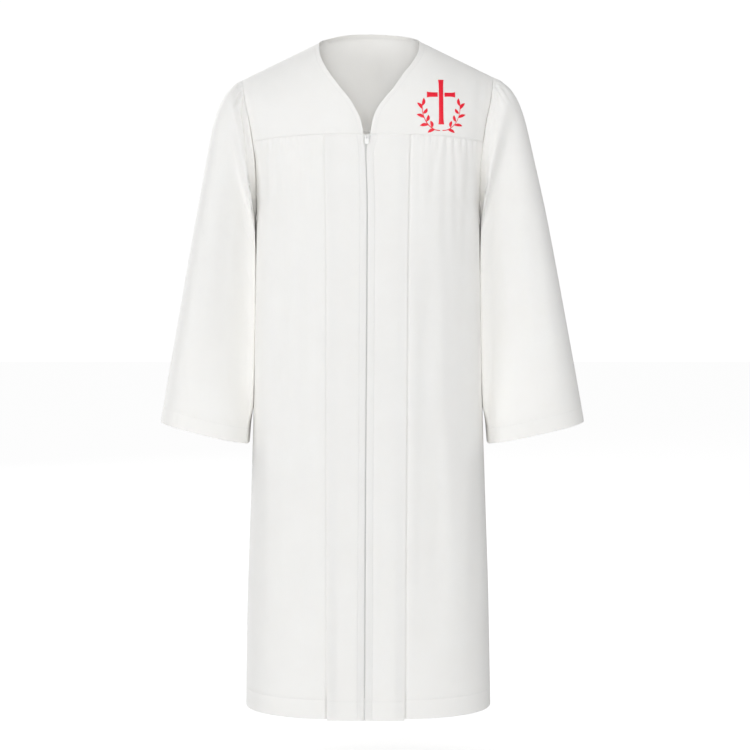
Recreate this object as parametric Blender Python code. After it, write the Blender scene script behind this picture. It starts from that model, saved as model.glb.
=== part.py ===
"""Confirmation robe, standing open as it does when worn, with no wearer in it.

The frame is in metres: +Z up, the front faces -Y and the wearer's left is +X. The origin lies level with the
points where the shoulders meet the neck. Sizes below are in millimetres.
"""

import math
from collections import namedtuple

import bmesh
import bpy
import numpy as np

MM = 0.001
FRONT = -1
BACK = 1
LEFT = 1
RIGHT = -1

# Cloth and seams
WALL = 1.4
HEM_WALL = 2.7
TAPE_WALL = 1.0
SEAM_GAP = 0.3
HEM_STEP = 0.8

# Heights and depths of the cut
LENGTH = 1175.0
BODY_HEM = 33.0
SLEEVE_HEM = 27.0
PLACKET_DROP = 2.5
TUCK = 18.0
PLACKET_LIFT = 0.4
UNDERARM = -300.0
RING_POWER = 3.0
SLEEVE_POWER = 2.6

# How the worn robe settles: the wearer's right shoulder lies lower, and the hem rises towards the sides
SHOULDER_DIP = 5.0
HEM_RISE = 4.5

# Shoulder ridge and yoke seams
RIDGE_TOP = 4.0
RIDGE_START = 88.0
RIDGE_SLOPE = 0.485
SHOULDER_X = 222.0
SHOULDER_ROUNDING = 0.68
YOKE_HALF = 201.6
SEAM_HEIGHT = {FRONT: -165.5, BACK: -150.0}
SEAM_DROP = {FRONT: 11.5, BACK: 10.0}

# Back neckline
NECK_SIDE = {LEFT: 92.0, RIGHT: 86.3}
NECK_BACK = 62.0
NECK_RISE = 17.0
NECK_SEAM_X = 96.0
NECK_TURN = 0.4
NECK_ROUNDER = 0.18
FACING_WIDTH = 6.5
FACING_TURN = 0.25
FACING_GAP = 0.6

Body = namedtuple("Body", "height half_width front back")
BODY = [
    Body(-1175, 218.0, 152, 140),
    Body(-988, 214.2, 144, 137),
    Body(-810, 208.3, 136, 133),
    Body(-632, 203.0, 128, 128),
    Body(-454, 199.3, 119, 122),
    Body(-300, 197.3, 111, 117),
    Body(-250, 198.0, 108, 115),
    Body(-215, 201.0, 106, 113),
    Body(-177, 210.0, 103, 111),
    Body(-130, 221.5, 100, 107),
    Body(-97, 229.0, 98, 103),
    Body(-57, 234.0, 97, 99),
]

# The armhole's depth on the body's ring, as a share of the ring's own depth
Armhole = namedtuple("Armhole", "height front back")
ARMHOLE = [
    Armhole(-300, 0.0, 0.0),
    Armhole(-297, 0.07, 0.07),
    Armhole(-288, 0.14, 0.14),
    Armhole(-268, 0.22, 0.23),
    Armhole(-240, 0.30, 0.32),
    Armhole(-215, 0.38, 0.40),
    Armhole(-177, 0.49, 0.50),
    Armhole(-130, 0.54, 0.52),
    Armhole(-97, 0.54, 0.52),
    Armhole(-60, 0.53, 0.52),
]

# The V neck edge on each side of the front
Neck = namedtuple("Neck", "height right left")
NECK = [
    Neck(-165.5, -7.6, 4.6),
    Neck(-157, -8.8, 5.4),
    Neck(-140, -12.5, 8.7),
    Neck(-122, -21, 15.5),
    Neck(-104, -31.5, 28),
    Neck(-85, -46, 44),
    Neck(-57, -65, 63.5),
    Neck(-38, -76, 78),
    Neck(-15, -84.5, 89.5),
    Neck(5, -86.3, 92),
]

# The placket strips' edges, from the wearer's right to the left
Strip = namedtuple("Strip", "height right_outer right_inner left_inner left_outer")
STRIPS = [
    Strip(-1174, -70.8, -6.8, -4.8, 63.4),
    Strip(-800, -70.8, -5.0, -3.0, 65.5),
    Strip(-436, -70.8, -2.5, -0.5, 67.7),
    Strip(-290, -71.6, -2.0, 0.0, 69.4),
    Strip(-200, -73.6, -4.4, -2.2, 71.2),
    Strip(-184, -74.0, -5.4, -0.6, 71.9),
    Strip(-177, -74.2, -6.4, 2.6, 72.3),
    Strip(-165, -74.5, -7.6, 4.6, 73.0),
]

# Valleys between the gathers under the yoke seams: place across, depth and length down the panel
GATHER_EDGE = 12.0
Gather = namedtuple("Gather", "across depth length")
GATHERS_LEFT = [
    Gather(83, 0.7, 40),
    Gather(91, 0.9, 60),
    Gather(100, 1.2, 70),
    Gather(110, 1.5, 60),
    Gather(122, 1.6, 80),
    Gather(136, 1.8, 90),
    Gather(150, 2.1, 110),
    Gather(163, 1.7, 80),
    Gather(174, 2.0, 100),
    Gather(184, 1.7, 70),
    Gather(193, 1.5, 60),
]
GATHERS_RIGHT = [
    Gather(90, 0.4, 40),
    Gather(103, 0.6, 45),
    Gather(114, 1.1, 60),
    Gather(125, 1.3, 60),
    Gather(136, 1.6, 90),
    Gather(147, 1.7, 110),
    Gather(157, 1.3, 70),
    Gather(167, 1.8, 120),
    Gather(177, 1.5, 90),
    Gather(189, 1.1, 60),
]
GATHERS_BACK = [
    Gather(-186, 1.3, 60),
    Gather(-172, 1.7, 90),
    Gather(-156, 1.9, 110),
    Gather(-141, 1.5, 70),
    Gather(-124, 2.0, 120),
    Gather(-106, 1.6, 80),
    Gather(-89, 1.9, 100),
    Gather(-70, 1.4, 70),
    Gather(-52, 1.8, 110),
    Gather(-33, 1.5, 80),
    Gather(-14, 1.7, 90),
    Gather(5, 1.9, 120),
    Gather(24, 1.4, 70),
    Gather(44, 1.7, 100),
    Gather(62, 1.5, 80),
    Gather(81, 2.0, 110),
    Gather(99, 1.6, 80),
    Gather(117, 1.8, 100),
    Gather(134, 1.4, 70),
    Gather(150, 1.9, 120),
    Gather(166, 1.6, 90),
    Gather(182, 1.3, 60),
]

# Long soft troughs down the panels: place across, depth, half width, and the heights between which they run
Trough = namedtuple("Trough", "across depth half_width top bottom")
TROUGHS_LEFT = [
    Trough(166, 5.0, 20, -215, -900),
    Trough(112, 2.5, 22, -330, -1171),
]
TROUGHS_RIGHT = [
    Trough(160, 3.5, 18, -215, -800),
    Trough(108, 3.0, 22, -300, -1171),
]
TROUGHS_BACK = [
    Trough(-150, 6.0, 22, -200, -1171),
    Trough(-88, 5.0, 20, -240, -1171),
    Trough(-30, 6.5, 24, -220, -1171),
    Trough(38, 5.0, 20, -260, -1171),
    Trough(96, 6.0, 24, -230, -1171),
    Trough(152, 5.0, 20, -200, -1171),
]

# Sleeve rings: the outer and the inner end of each ring seen from the front, and half its depth.
# The first row stands for the armhole, and the last two for the hem's stitch line and the cuff.
Sleeve = namedtuple("Sleeve", "station out_right out_left out_height in_height clear half_depth")
SLEEVE = [
    Sleeve(0, 222.0, 222.0, -60.7, -300, 0.5, 50),
    Sleeve(1, 235.0, 238.0, -69, -318, 1.6, 64),
    Sleeve(2, 249.0, 254.5, -84, -340, 2.2, 70),
    Sleeve(3, 262.5, 267.5, -108, -366, 2.2, 73),
    Sleeve(4, 272.5, 278.5, -140, -394, 2.2, 75),
    Sleeve(5, 283.0, 290.5, -195, -436, 2.2, 77),
    Sleeve(6, 297.5, 308.5, -272, -492, 2.2, 80),
    Sleeve(7, 316.5, 329.0, -375, -550, 2.4, 84),
    Sleeve(8, 336.0, 350.0, -486, -602, 3.0, 88),
    Sleeve(9, 353.5, 368.0, -582, -650, 4.2, 92),
    Sleeve(10, 363.6, 378.6, -641, -679.5, 5.4, 94),
    Sleeve(11, 368.5, 383.2, -667.6, -706.3, 6.6, 95),
]
SLEEVE_STATIONS = [0, 0.3, 0.6, 0.9, 1.3, 1.8, 2.4, 3.2, 4, 4.8, 5.6, 6.4, 7.2, 8, 9, 10]
SLEEVE_SIDES = 34
SLEEVE_SEAM_GAP = 0.5

# The sleeve's inner side leans back and wraps the body's side between these stations
WRAP_START = (1.2, 3.0)
WRAP_END = (6.6, 9.9)
WRAP_IN = 9.0
WRAP_BACK = 52.0
BODY_CLEAR = 2.0

# Folds that run beside the armhole seams, on the sleeve: a station, its half width in stations, the depth,
# and the shares of the half ring between which the fold lies
SleeveFold = namedtuple("SleeveFold", "side face station half_width depth top low")
SLEEVE_FOLDS = [
    SleeveFold(LEFT, FRONT, 0.85, 0.42, 4.0, 0.30, 0.86),
    SleeveFold(RIGHT, FRONT, 0.95, 0.42, 5.5, 0.20, 0.86),
    SleeveFold(LEFT, BACK, 0.95, 0.45, 4.0, 0.25, 0.85),
    SleeveFold(RIGHT, BACK, 0.90, 0.45, 3.5, 0.28, 0.85),
]

# Zip slider and pull tab
SLIDER_X = -1.7
SLIDER_TOP = -167.5
SLIDER_BODY = (7.0, 10.0, 2.6)
SLIDER_CORNER = 2.0
ARCH_WIDTH = 1.6
ARCH_IN = 1.5
ARCH_OUT = 2.6
ARCH_ROOT = 0.6
PIVOT_DROP = 3.0
PIVOT_OUT = 1.3
PULL_WIDTH = 7.2
PULL_LENGTH = 13.2
PULL_THICK = 1.1
PULL_BAR = 0.55
PULL_POWER = 3.0
EYE_WIDTH = 2.7
EYE_LENGTH = 3.4
EYE_POWER = 4.0
PULL_SIDES = 28
TAPE_REACH = 14.0
COIL_GAP = 0.4

# Looks: base colour, roughness, metallic
CLOTH = ((0.88, 0.875, 0.855), 0.75, 0.0)
PAINTED_METAL = ((0.86, 0.86, 0.84), 0.35, 0.0)


def curve(table, column):
    """A smooth line through one column of a table, against its first column, that never overshoots."""
    rows = sorted(table, key=lambda row: row[0])
    keys = np.array([row[0] for row in rows], float)
    values = np.array([getattr(row, column) for row in rows], float)
    steps = np.diff(keys)
    slopes = np.diff(values) / steps
    tangents = np.empty(len(keys))
    tangents[0] = slopes[0]
    tangents[-1] = slopes[-1]
    for i in range(1, len(slopes)):
        before, after = slopes[i - 1], slopes[i]
        tangents[i] = 2 * before * after / (before + after) if before * after > 0 else 0.0

    def value(at):
        i = int(min(max(np.searchsorted(keys, at) - 1, 0), len(steps) - 1))
        t = min(max((at - keys[i]) / steps[i], 0.0), 1.0)
        ease = t * t * (3 - 2 * t)
        rise = steps[i] * (tangents[i] * t * (1 - t) ** 2 - tangents[i + 1] * t * t * (1 - t))
        return float(values[i] + (values[i + 1] - values[i]) * ease + rise)

    return value


def blend(low, high, at):
    """0 below low, 1 above high and smooth between."""
    t = min(max((at - low) / (high - low), 0.0), 1.0)
    return t * t * (3 - 2 * t)


half_width = curve(BODY, "half_width")
depth_of = {FRONT: curve(BODY, "front"), BACK: curve(BODY, "back")}
armhole_share = {FRONT: curve(ARMHOLE, "front"), BACK: curve(ARMHOLE, "back")}
neck_edge = {RIGHT: curve(NECK, "right"), LEFT: curve(NECK, "left")}
strip_outer = {RIGHT: curve(STRIPS, "right_outer"), LEFT: curve(STRIPS, "left_outer")}
strip_inner = {RIGHT: curve(STRIPS, "right_inner"), LEFT: curve(STRIPS, "left_inner")}


def ridge_height(x):
    return RIDGE_TOP - RIDGE_SLOPE * (abs(x) - RIDGE_START)


def seam_height(x, face):
    return SEAM_HEIGHT[face] - SEAM_DROP[face] * (abs(x) / YOKE_HALF) ** 3


def shoulder_share(x, z, face):
    """How far the cloth has come forward or back from the shoulder ridge: 0 on the ridge, 1 at the yoke seam."""
    top = ridge_height(x)
    down = min(max((top - z) / (top - seam_height(x, face)), 0.0), 1.0)
    return (1 - (1 - down) ** 2) ** SHOULDER_ROUNDING


def torso_depth(x, z, face):
    """The body form's y at a place across and a height."""
    rest = max(1 - (abs(x) / half_width(z)) ** RING_POWER, 0.0)
    return face * depth_of[face](z) * rest ** (1 / RING_POWER) * shoulder_share(x, z, face)


def ring(z, face):
    """The body's outline at a height, from the middle to the side: x, y and the length run so far."""
    turn = np.linspace(0, math.pi / 2, 181)
    x = half_width(z) * np.sin(turn) ** (2 / RING_POWER)
    y = face * depth_of[face](z) * np.cos(turn) ** (2 / RING_POWER)
    run = np.concatenate([[0], np.cumsum(np.hypot(np.diff(x), np.diff(y)))])
    return x, y, run


def armhole_at(z, face):
    """The armhole's point at a height."""
    share = armhole_share[face](z)
    x = half_width(z) * (1 - share**RING_POWER) ** (1 / RING_POWER)
    return np.array([x, face * depth_of[face](z) * share * shoulder_share(x, z, face), z])


def shoulder_end():
    """Where the shoulder ridge meets the armhole."""
    return np.array([SHOULDER_X, 0.0, ridge_height(SHOULDER_X)])


def armhole_line(face, count):
    """Points along the armhole from the shoulder to the underarm, evenly spaced."""
    top = shoulder_end()
    spread = 0.5 - 0.5 * np.cos(np.linspace(0, math.pi, 241))
    heights = top[2] + (UNDERARM - top[2]) * spread
    points = np.array([top] + [armhole_at(z, face) for z in heights[1:]])
    run = np.concatenate([[0], np.cumsum(np.linalg.norm(np.diff(points, axis=0), axis=1))])
    at = np.linspace(0, run[-1], count)
    return np.stack([np.interp(at, run, points[:, k]) for k in range(3)], axis=1)


def normals(grid, loop=False):
    """Each point's direction square to the grid's two ways, from its neighbours."""
    down = np.gradient(grid, axis=0)
    if loop:
        across = np.roll(grid, -1, axis=1) - np.roll(grid, 1, axis=1)
    else:
        across = np.gradient(grid, axis=1)
    square = np.cross(down, across)
    return square / np.linalg.norm(square, axis=2, keepdims=True)


def thin_rows(rows, fine):
    """Keeps every row down to the fine ones, and every second column of the rows below."""
    return [row if i < fine else row[::2] for i, row in enumerate(rows)]


def skin(bm, rows, loop):
    """Joins rows of vertices into faces. A row may have half the columns of the row above it."""
    for upper, lower in zip(rows, rows[1:]):
        upper = upper + upper[:1] if loop else upper
        lower = lower + lower[:1] if loop else lower
        if len(upper) == len(lower):
            for i in range(len(upper) - 1):
                bm.faces.new((upper[i], upper[i + 1], lower[i + 1], lower[i]))
            continue
        for i in range(len(lower) - 1):
            first, middle, last = upper[2 * i : 2 * i + 3]
            bm.faces.new((first, middle, lower[i]))
            bm.faces.new((middle, lower[i + 1], lower[i]))
            bm.faces.new((middle, last, lower[i + 1]))


def settle(point):
    """Where a point of the even form lies on the worn robe. It moves all pieces alike, so seams stay closed."""
    x, y, z = point
    z -= SHOULDER_DIP * blend(25, 90, -x) * blend(-190, -50, z)
    z += HEM_RISE * min(abs(x) / half_width(-LENGTH), 1.0) ** 3 * blend(-760, -LENGTH, z)
    return x, y, z


def material(name, colour, rough, metallic):
    made = bpy.data.materials.new(name)
    made.use_nodes = True
    shader = made.node_tree.nodes["Principled BSDF"]
    shader.inputs["Base Color"].default_value = (*colour, 1.0)
    shader.inputs["Roughness"].default_value = rough
    shader.inputs["Metallic"].default_value = metallic
    made.diffuse_color = (*colour, 1.0)
    return made


def add_object(name, bm, look):
    """Turns a finished bmesh, in millimetres, into an object in metres."""
    bmesh.ops.recalc_face_normals(bm, faces=bm.faces)
    bmesh.ops.scale(bm, vec=(MM, MM, MM), verts=bm.verts)
    mesh = bpy.data.meshes.new(name)
    bm.to_mesh(mesh)
    bm.free()
    mesh.materials.append(material(name, *look))
    mesh.shade_smooth()
    mesh.set_sharp_from_angle(angle=math.radians(40))
    made = bpy.data.objects.new(name, mesh)
    bpy.context.scene.collection.objects.link(made)
    return made


def wall_solid(name, outer, inner, loop=False, look=CLOTH):
    """A wall between two sets of rows. Open sheets get a rim on all sides, tubes at both ends."""
    bm = bmesh.new()
    faces_out = [[bm.verts.new(settle(p)) for p in row] for row in outer]
    faces_in = [[bm.verts.new(settle(p)) for p in row] for row in inner]
    skin(bm, faces_out, loop)
    skin(bm, faces_in, loop)
    for row_out, row_in in ((faces_out[0], faces_in[0]), (faces_out[-1], faces_in[-1])):
        row_out = row_out + row_out[:1] if loop else row_out
        row_in = row_in + row_in[:1] if loop else row_in
        for i in range(len(row_out) - 1):
            bm.faces.new((row_out[i], row_out[i + 1], row_in[i + 1], row_in[i]))
    if not loop:
        for side in (0, -1):
            for i in range(len(outer) - 1):
                bm.faces.new((faces_out[i][side], faces_out[i + 1][side], faces_in[i + 1][side], faces_in[i][side]))
    return add_object(name, bm, look)


def gather_height(gathers, across, drop):
    """How far the gathers go in, at a place across the seam and a distance below it. They meet half way."""
    height = 0.0
    for i, here in enumerate(gathers):
        step = across - here.across
        beside = i - 1 if step < 0 else i + 1
        spacing = abs(gathers[beside].across - here.across) if 0 <= beside < len(gathers) else GATHER_EDGE
        if abs(step) < spacing / 2:
            wave = 0.5 + 0.5 * math.cos(2 * math.pi * step / spacing)
            fade = 1 - blend(0.3 * here.length, here.length, drop)
            height -= here.depth * wave * fade * blend(0.0, 8.0, drop)
    return height


def trough_height(troughs, across, z):
    """How far the long troughs go in, at a place across and a height."""
    height = 0.0
    for trough in troughs:
        side = math.exp(-(((across - trough.across) / trough.half_width) ** 2))
        top = 1 - blend(trough.top - 120, trough.top, z)
        bottom = 1.0 if trough.bottom <= -LENGTH else blend(trough.bottom, trough.bottom + 250, z)
        height -= trough.depth * side * top * bottom
    return height


def panel_walls(base, heights, walls, on_ridge=()):
    """Outer and inner points from a base grid, the fold heights and the wall's thickness at each row.

    The columns in on_ridge start on the shoulder ridge, where the wall stands square to the shoulder's slope.
    """
    square = normals(base)
    tilt = math.atan(RIDGE_SLOPE)
    for column in on_ridge:
        side = math.copysign(1, base[0, column, 0])
        square[0, column] = (side * math.sin(tilt), 0, math.cos(tilt))
    outer = base + square * heights[:, :, None]
    inner = outer - square * np.asarray(walls)[:, None, None]
    return outer, inner


# Distances below the yoke seam at which the panels have a row of points
PANEL_DROPS = [0, 5, 12, 21, 33, 47, 64, 84, 104]
PANEL_HEIGHTS = [-300, -345, -410, -500, -610, -730, -870, -1010]
FINE_ROWS = 7


def panel_rows(corner):
    """Row heights at the side, and the wall's thickness at each: the last rows are the turned hem."""
    stitch = -LENGTH + BODY_HEM
    heights = [corner - drop for drop in PANEL_DROPS] + PANEL_HEIGHTS
    walls = [WALL] * len(heights)
    heights += [stitch + HEM_STEP, stitch, -LENGTH]
    walls += [WALL, HEM_WALL, HEM_WALL]
    return heights, walls


def front_panel(side):
    """One gathered front panel, from under the placket strip to the armhole and the side seam."""
    name = "front_panel_left" if side == LEFT else "front_panel_right"
    gathers = GATHERS_LEFT if side == LEFT else GATHERS_RIGHT
    troughs = TROUGHS_LEFT if side == LEFT else TROUGHS_RIGHT
    corner = seam_height(YOKE_HALF, FRONT)
    heights, walls = panel_rows(corner)
    near = [0.0, 9.0, TUCK - 1.0, TUCK + 2.5, TUCK + 7.0]
    far = np.linspace(0, 1, 39)[1:]
    seam_rows = []
    across_rows = []
    beside_rows = []
    for height in heights:
        share = (corner - height) / (corner + LENGTH)
        row = []
        across = []
        beside = []
        for column in near + list(far):
            z = height
            for _ in range(4):
                x, y, run = ring(z, FRONT)
                start = np.interp(side * strip_outer[side](z) - TUCK, x, run)
                end = run[-1]
                if height > UNDERARM:
                    hole = armhole_share[FRONT](height)
                    end = np.interp(-hole, y / depth_of[FRONT](z), run)
                end -= SEAM_GAP / 2
                edge = start + near[-1]
                at = start + column if column > 1 or column == 0 else edge + (end - edge) * column
                place = np.interp(at, run, x)
                top = seam_height(place, FRONT) - SEAM_GAP / 2
                z = top + (-LENGTH - top) * share
            row.append((side * place, np.interp(at, run, y), z))
            across.append(place)
            beside.append(at - start - TUCK)
        seam_rows.append(row)
        across_rows.append(across)
        beside_rows.append(beside)
    base = np.array(seam_rows)
    fold = np.zeros(base.shape[:2])
    under = WALL + SEAM_GAP
    dip = 3.6 if side == LEFT else 2.4
    for i in range(fold.shape[0]):
        for j in range(fold.shape[1]):
            drop = base[0, j, 2] - base[i, j, 2]
            beside = beside_rows[i][j]
            fold[i, j] = gather_height(gathers, across_rows[0][j], drop) * blend(4, 12, beside)
            fold[i, j] += trough_height(troughs, across_rows[i][j], base[i, j, 2])
            room = under - PLACKET_LIFT + (HEM_WALL - WALL if i >= fold.shape[0] - 3 else 0.0)
            fold[i, j] -= room * (1 - blend(2.5, 7, beside))
            fold[i, j] -= (dip - under) * math.exp(-(((beside - 2) / 5) ** 2)) * blend(0, 20, drop)
    if side == RIGHT:
        base, fold = base[:, ::-1], fold[:, ::-1]
    outer, inner = panel_walls(base, fold, walls)
    return wall_solid(name, thin_rows(outer, FINE_ROWS), thin_rows(inner, FINE_ROWS))


def back_panel():
    """The back panel, gathered into the back yoke, from one armhole and side seam to the other."""
    corner = seam_height(YOKE_HALF, BACK)
    heights, walls = panel_rows(corner)
    shares = np.linspace(-1, 1, 73)
    rows = []
    for height in heights:
        down = (corner - height) / (corner + LENGTH)
        row = []
        for share in shares:
            z = height
            for _ in range(4):
                x, y, run = ring(z, BACK)
                end = run[-1]
                if height > UNDERARM:
                    end = np.interp(-armhole_share[BACK](height), -y / depth_of[BACK](z), run)
                at = (end - SEAM_GAP / 2) * abs(share)
                place = math.copysign(np.interp(at, run, x), share)
                top = seam_height(place, BACK) - SEAM_GAP / 2
                z = top + (-LENGTH - top) * down
            row.append((place, np.interp(at, run, y), z))
        rows.append(row)
    base = np.array(rows)[:, ::-1]
    fold = np.zeros(base.shape[:2])
    for i in range(fold.shape[0]):
        for j in range(fold.shape[1]):
            drop = base[0, j, 2] - base[i, j, 2]
            fold[i, j] = gather_height(GATHERS_BACK, base[0, j, 0], drop)
            fold[i, j] += trough_height(TROUGHS_BACK, base[i, j, 0], base[i, j, 2])
    outer, inner = panel_walls(base, fold, walls)
    return wall_solid("back_panel", thin_rows(outer, FINE_ROWS), thin_rows(inner, FINE_ROWS))


def strip_rows():
    """Row heights of the placket strips, level with the front panel's rows beside them, and the wall at each."""
    heights, walls = panel_rows(seam_height(YOKE_HALF, FRONT))
    top = SEAM_HEIGHT[FRONT] - SEAM_GAP / 2
    bottom = -LENGTH - PLACKET_DROP
    first, last = heights[0], heights[-1]
    return [top + (bottom - top) * (first - height) / (first - last) for height in heights], walls


def placket(side):
    """A plain strip beside the zip slit. It lies over the tucked edge of the front panel."""
    name = "placket_left" if side == LEFT else "placket_right"
    heights, walls = strip_rows()
    rows = []
    for z in heights:
        inner_edge = strip_inner[side](z)
        outer_edge = strip_outer[side](z)
        row = []
        for share in (0, 0.35, 0.72, 1):
            x = inner_edge + (outer_edge - inner_edge) * share
            droop = seam_height(x, FRONT) - SEAM_HEIGHT[FRONT] if z == heights[0] else 0.0
            row.append((x, torso_depth(x, z, FRONT), z + droop))
        rows.append(row if side == LEFT else row[::-1])
    base = np.array(rows)
    outer, inner = panel_walls(base, np.full(base.shape[:2], PLACKET_LIFT), walls)
    return wall_solid(name, outer, inner)


def zip_tape(side):
    """One half of the zip's tape, behind the slit and down to the hem's edge."""
    name = "zip_tape_left" if side == LEFT else "zip_tape_right"
    heights, walls = strip_rows()
    rows = []
    for z in heights:
        middle = (strip_inner[LEFT](z) + strip_inner[RIGHT](z)) / 2
        ends = [middle + side * COIL_GAP / 2, middle + side * TAPE_REACH]
        row = [(x, torso_depth(x, z, FRONT), z) for x in ends]
        rows.append(row if side == LEFT else row[::-1])
    base = np.array(rows)
    behind = np.array([[PLACKET_LIFT - wall - SEAM_GAP] * 2 for wall in walls])
    outer, inner = panel_walls(base, behind, [TAPE_WALL] * len(rows))
    return wall_solid(name, outer, inner)


def front_yoke(side):
    """A smooth yoke piece from the V neck edge to the armhole, and from the ridge to the yoke seam."""
    name = "yoke_front_left" if side == LEFT else "yoke_front_right"
    downs = np.linspace(0, 1, 10) ** 1.6
    shares = np.linspace(0, 1, 12)
    half_gap = SEAM_GAP / 2
    neck = NECK_SIDE[side]
    corner = armhole_at(seam_height(YOKE_HALF, FRONT), FRONT)
    end = shoulder_end()
    rows = []
    for down in downs:
        neck_z = ridge_height(neck) + (SEAM_HEIGHT[FRONT] - ridge_height(neck)) * down
        arm_z = end[2] + (corner[2] - end[2]) * down
        neck_x = side * neck_edge[side](neck_z) if down > 0 else neck
        arm_x = armhole_at(arm_z, FRONT)[0] if down > 0 else end[0]
        row = []
        for share in shares:
            top_x = neck + (end[0] - neck) * share
            low_x = side * neck_edge[side](SEAM_HEIGHT[FRONT])
            low_x = low_x + (corner[0] - low_x) * share
            x = neck_x + (arm_x - neck_x) * share
            top_z = ridge_height(top_x)
            low_z = seam_height(low_x, FRONT)
            z = top_z + (low_z - top_z) * down
            x = x + half_gap * (1 if share == 0 else -1 if share == 1 else 0)
            z = min(z, ridge_height(x))
            y = torso_depth(x, z, FRONT) - half_gap * (down == 0)
            row.append((side * x, y, z + half_gap * (down == 1)))
        rows.append(row if side == LEFT else row[::-1])
    base = np.array(rows)
    on_ridge = range(len(shares))
    outer, inner = panel_walls(base, np.zeros(base.shape[:2]), [WALL] * len(rows), on_ridge)
    return wall_solid(name, outer, inner)


def back_yoke_point(turn, down):
    """A point of the back yoke. turn runs from -1 to 1 across it, and down from the top edge to the seam.

    The fall from the neck edge is flatter than the fall from the shoulder, and the two melt into each other.
    """
    side = LEFT if turn >= 0 else RIGHT
    neck = NECK_SIDE[side]
    end = shoulder_end()
    corner = armhole_at(seam_height(YOKE_HALF, BACK), BACK)
    rounding = SHOULDER_ROUNDING - NECK_ROUNDER * (1 - blend(NECK_TURN, 2 * NECK_TURN, abs(turn)))
    from_neck = 1 - (1 - down) ** 1.5
    from_ridge = (1 - (1 - down) ** 2) ** rounding
    melt = min(max(2 * abs(turn) / NECK_TURN - 1, 0.0), 1.0) ** 1.5
    fall = from_neck + (from_ridge - from_neck) * melt
    if abs(turn) <= NECK_TURN:
        angle = math.pi / 2 * abs(turn) / NECK_TURN
        middle = (ridge_height(NECK_SIDE[LEFT]) + ridge_height(NECK_SIDE[RIGHT])) / 2
        base_z = middle + (ridge_height(neck) - middle) * blend(0, 1, abs(turn) / NECK_TURN)
        top = (neck * math.sin(angle), NECK_BACK * math.cos(angle), base_z + NECK_RISE * math.cos(angle))
        low_x = NECK_SEAM_X * abs(turn) / NECK_TURN
    else:
        share = (abs(turn) - NECK_TURN) / (1 - NECK_TURN)
        top_x = neck + (end[0] - neck) * share
        top = (top_x, 0.0, ridge_height(top_x))
        low_x = NECK_SEAM_X + (corner[0] - NECK_SEAM_X) * share
    low_z = seam_height(low_x, BACK)
    low_y = torso_depth(low_x, low_z, BACK)
    x = top[0] + (low_x - top[0]) * down
    z = top[2] + (low_z - top[2]) * down
    y = top[1] + (low_y - top[1]) * fall
    at_arm = blend(0.8, 1.0, abs(turn))
    if at_arm > 0 and down > 0:
        arm_z = end[2] + (corner[2] - end[2]) * down
        arm = armhole_at(arm_z, BACK)
        x += (arm[0] - x) * at_arm
        z += (arm[2] - z) * at_arm
        y += (arm[1] - y) * at_arm
    return np.array([side * x, y, z])


def back_yoke():
    """The back yoke in one piece, with the back neck edge in the middle of its top."""
    downs = np.linspace(0, 1, 10) ** 1.6
    turns = np.linspace(-1, 1, 41)
    half_gap = SEAM_GAP / 2
    rows = []
    for down in downs:
        row = []
        for turn in turns[::-1]:
            p = back_yoke_point(turn, down)
            if abs(turn) == 1:
                p[0] -= half_gap * turn
            if down == 1:
                p[2] += half_gap
            if down == 0 and abs(turn) > NECK_TURN - 0.01:
                p[1] += half_gap
            row.append(p)
        rows.append(row)
    base = np.array(rows)
    on_ridge = [i for i, turn in enumerate(turns[::-1]) if abs(turn) > NECK_TURN - 0.01]
    outer, inner = panel_walls(base, np.zeros(base.shape[:2]), [WALL] * len(rows), on_ridge)
    return wall_solid("yoke_back", outer, inner)


def neck_facing():
    """The narrow band inside the back neck edge."""
    rows = []
    for drop in (0.4, 3.2, FACING_WIDTH):
        row = []
        for turn in np.linspace(FACING_TURN, -FACING_TURN, 11):
            top = back_yoke_point(turn, 0)
            low = back_yoke_point(turn, 1)
            row.append(back_yoke_point(turn, drop / (top[2] - low[2])))
        rows.append(row)
    base = np.array(rows)
    behind = np.full(base.shape[:2], -WALL - FACING_GAP)
    outer, inner = panel_walls(base, behind, [TAPE_WALL] * len(rows))
    return wall_solid("neck_facing", outer, inner)


def half_ring(outer_end, inner_end, half_depth, face, shares):
    """Points of half a sleeve ring, evenly spaced from its outer end round the front or back to its inner end."""
    middle = (outer_end + inner_end) / 2
    along = (outer_end - inner_end) / 2
    turn = np.linspace(0, math.pi, 241)
    reach = np.sign(np.cos(turn)) * np.abs(np.cos(turn)) ** (2 / SLEEVE_POWER)
    depth = np.sin(turn) ** (2 / SLEEVE_POWER) * half_depth * face
    points = middle + along * reach[:, None] + np.array([0, 1, 0]) * depth[:, None]
    run = np.concatenate([[0], np.cumsum(np.linalg.norm(np.diff(points, axis=0), axis=1))])
    at = shares * run[-1]
    return np.stack([np.interp(at, run, points[:, k]) for k in range(3)], axis=1)


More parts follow.
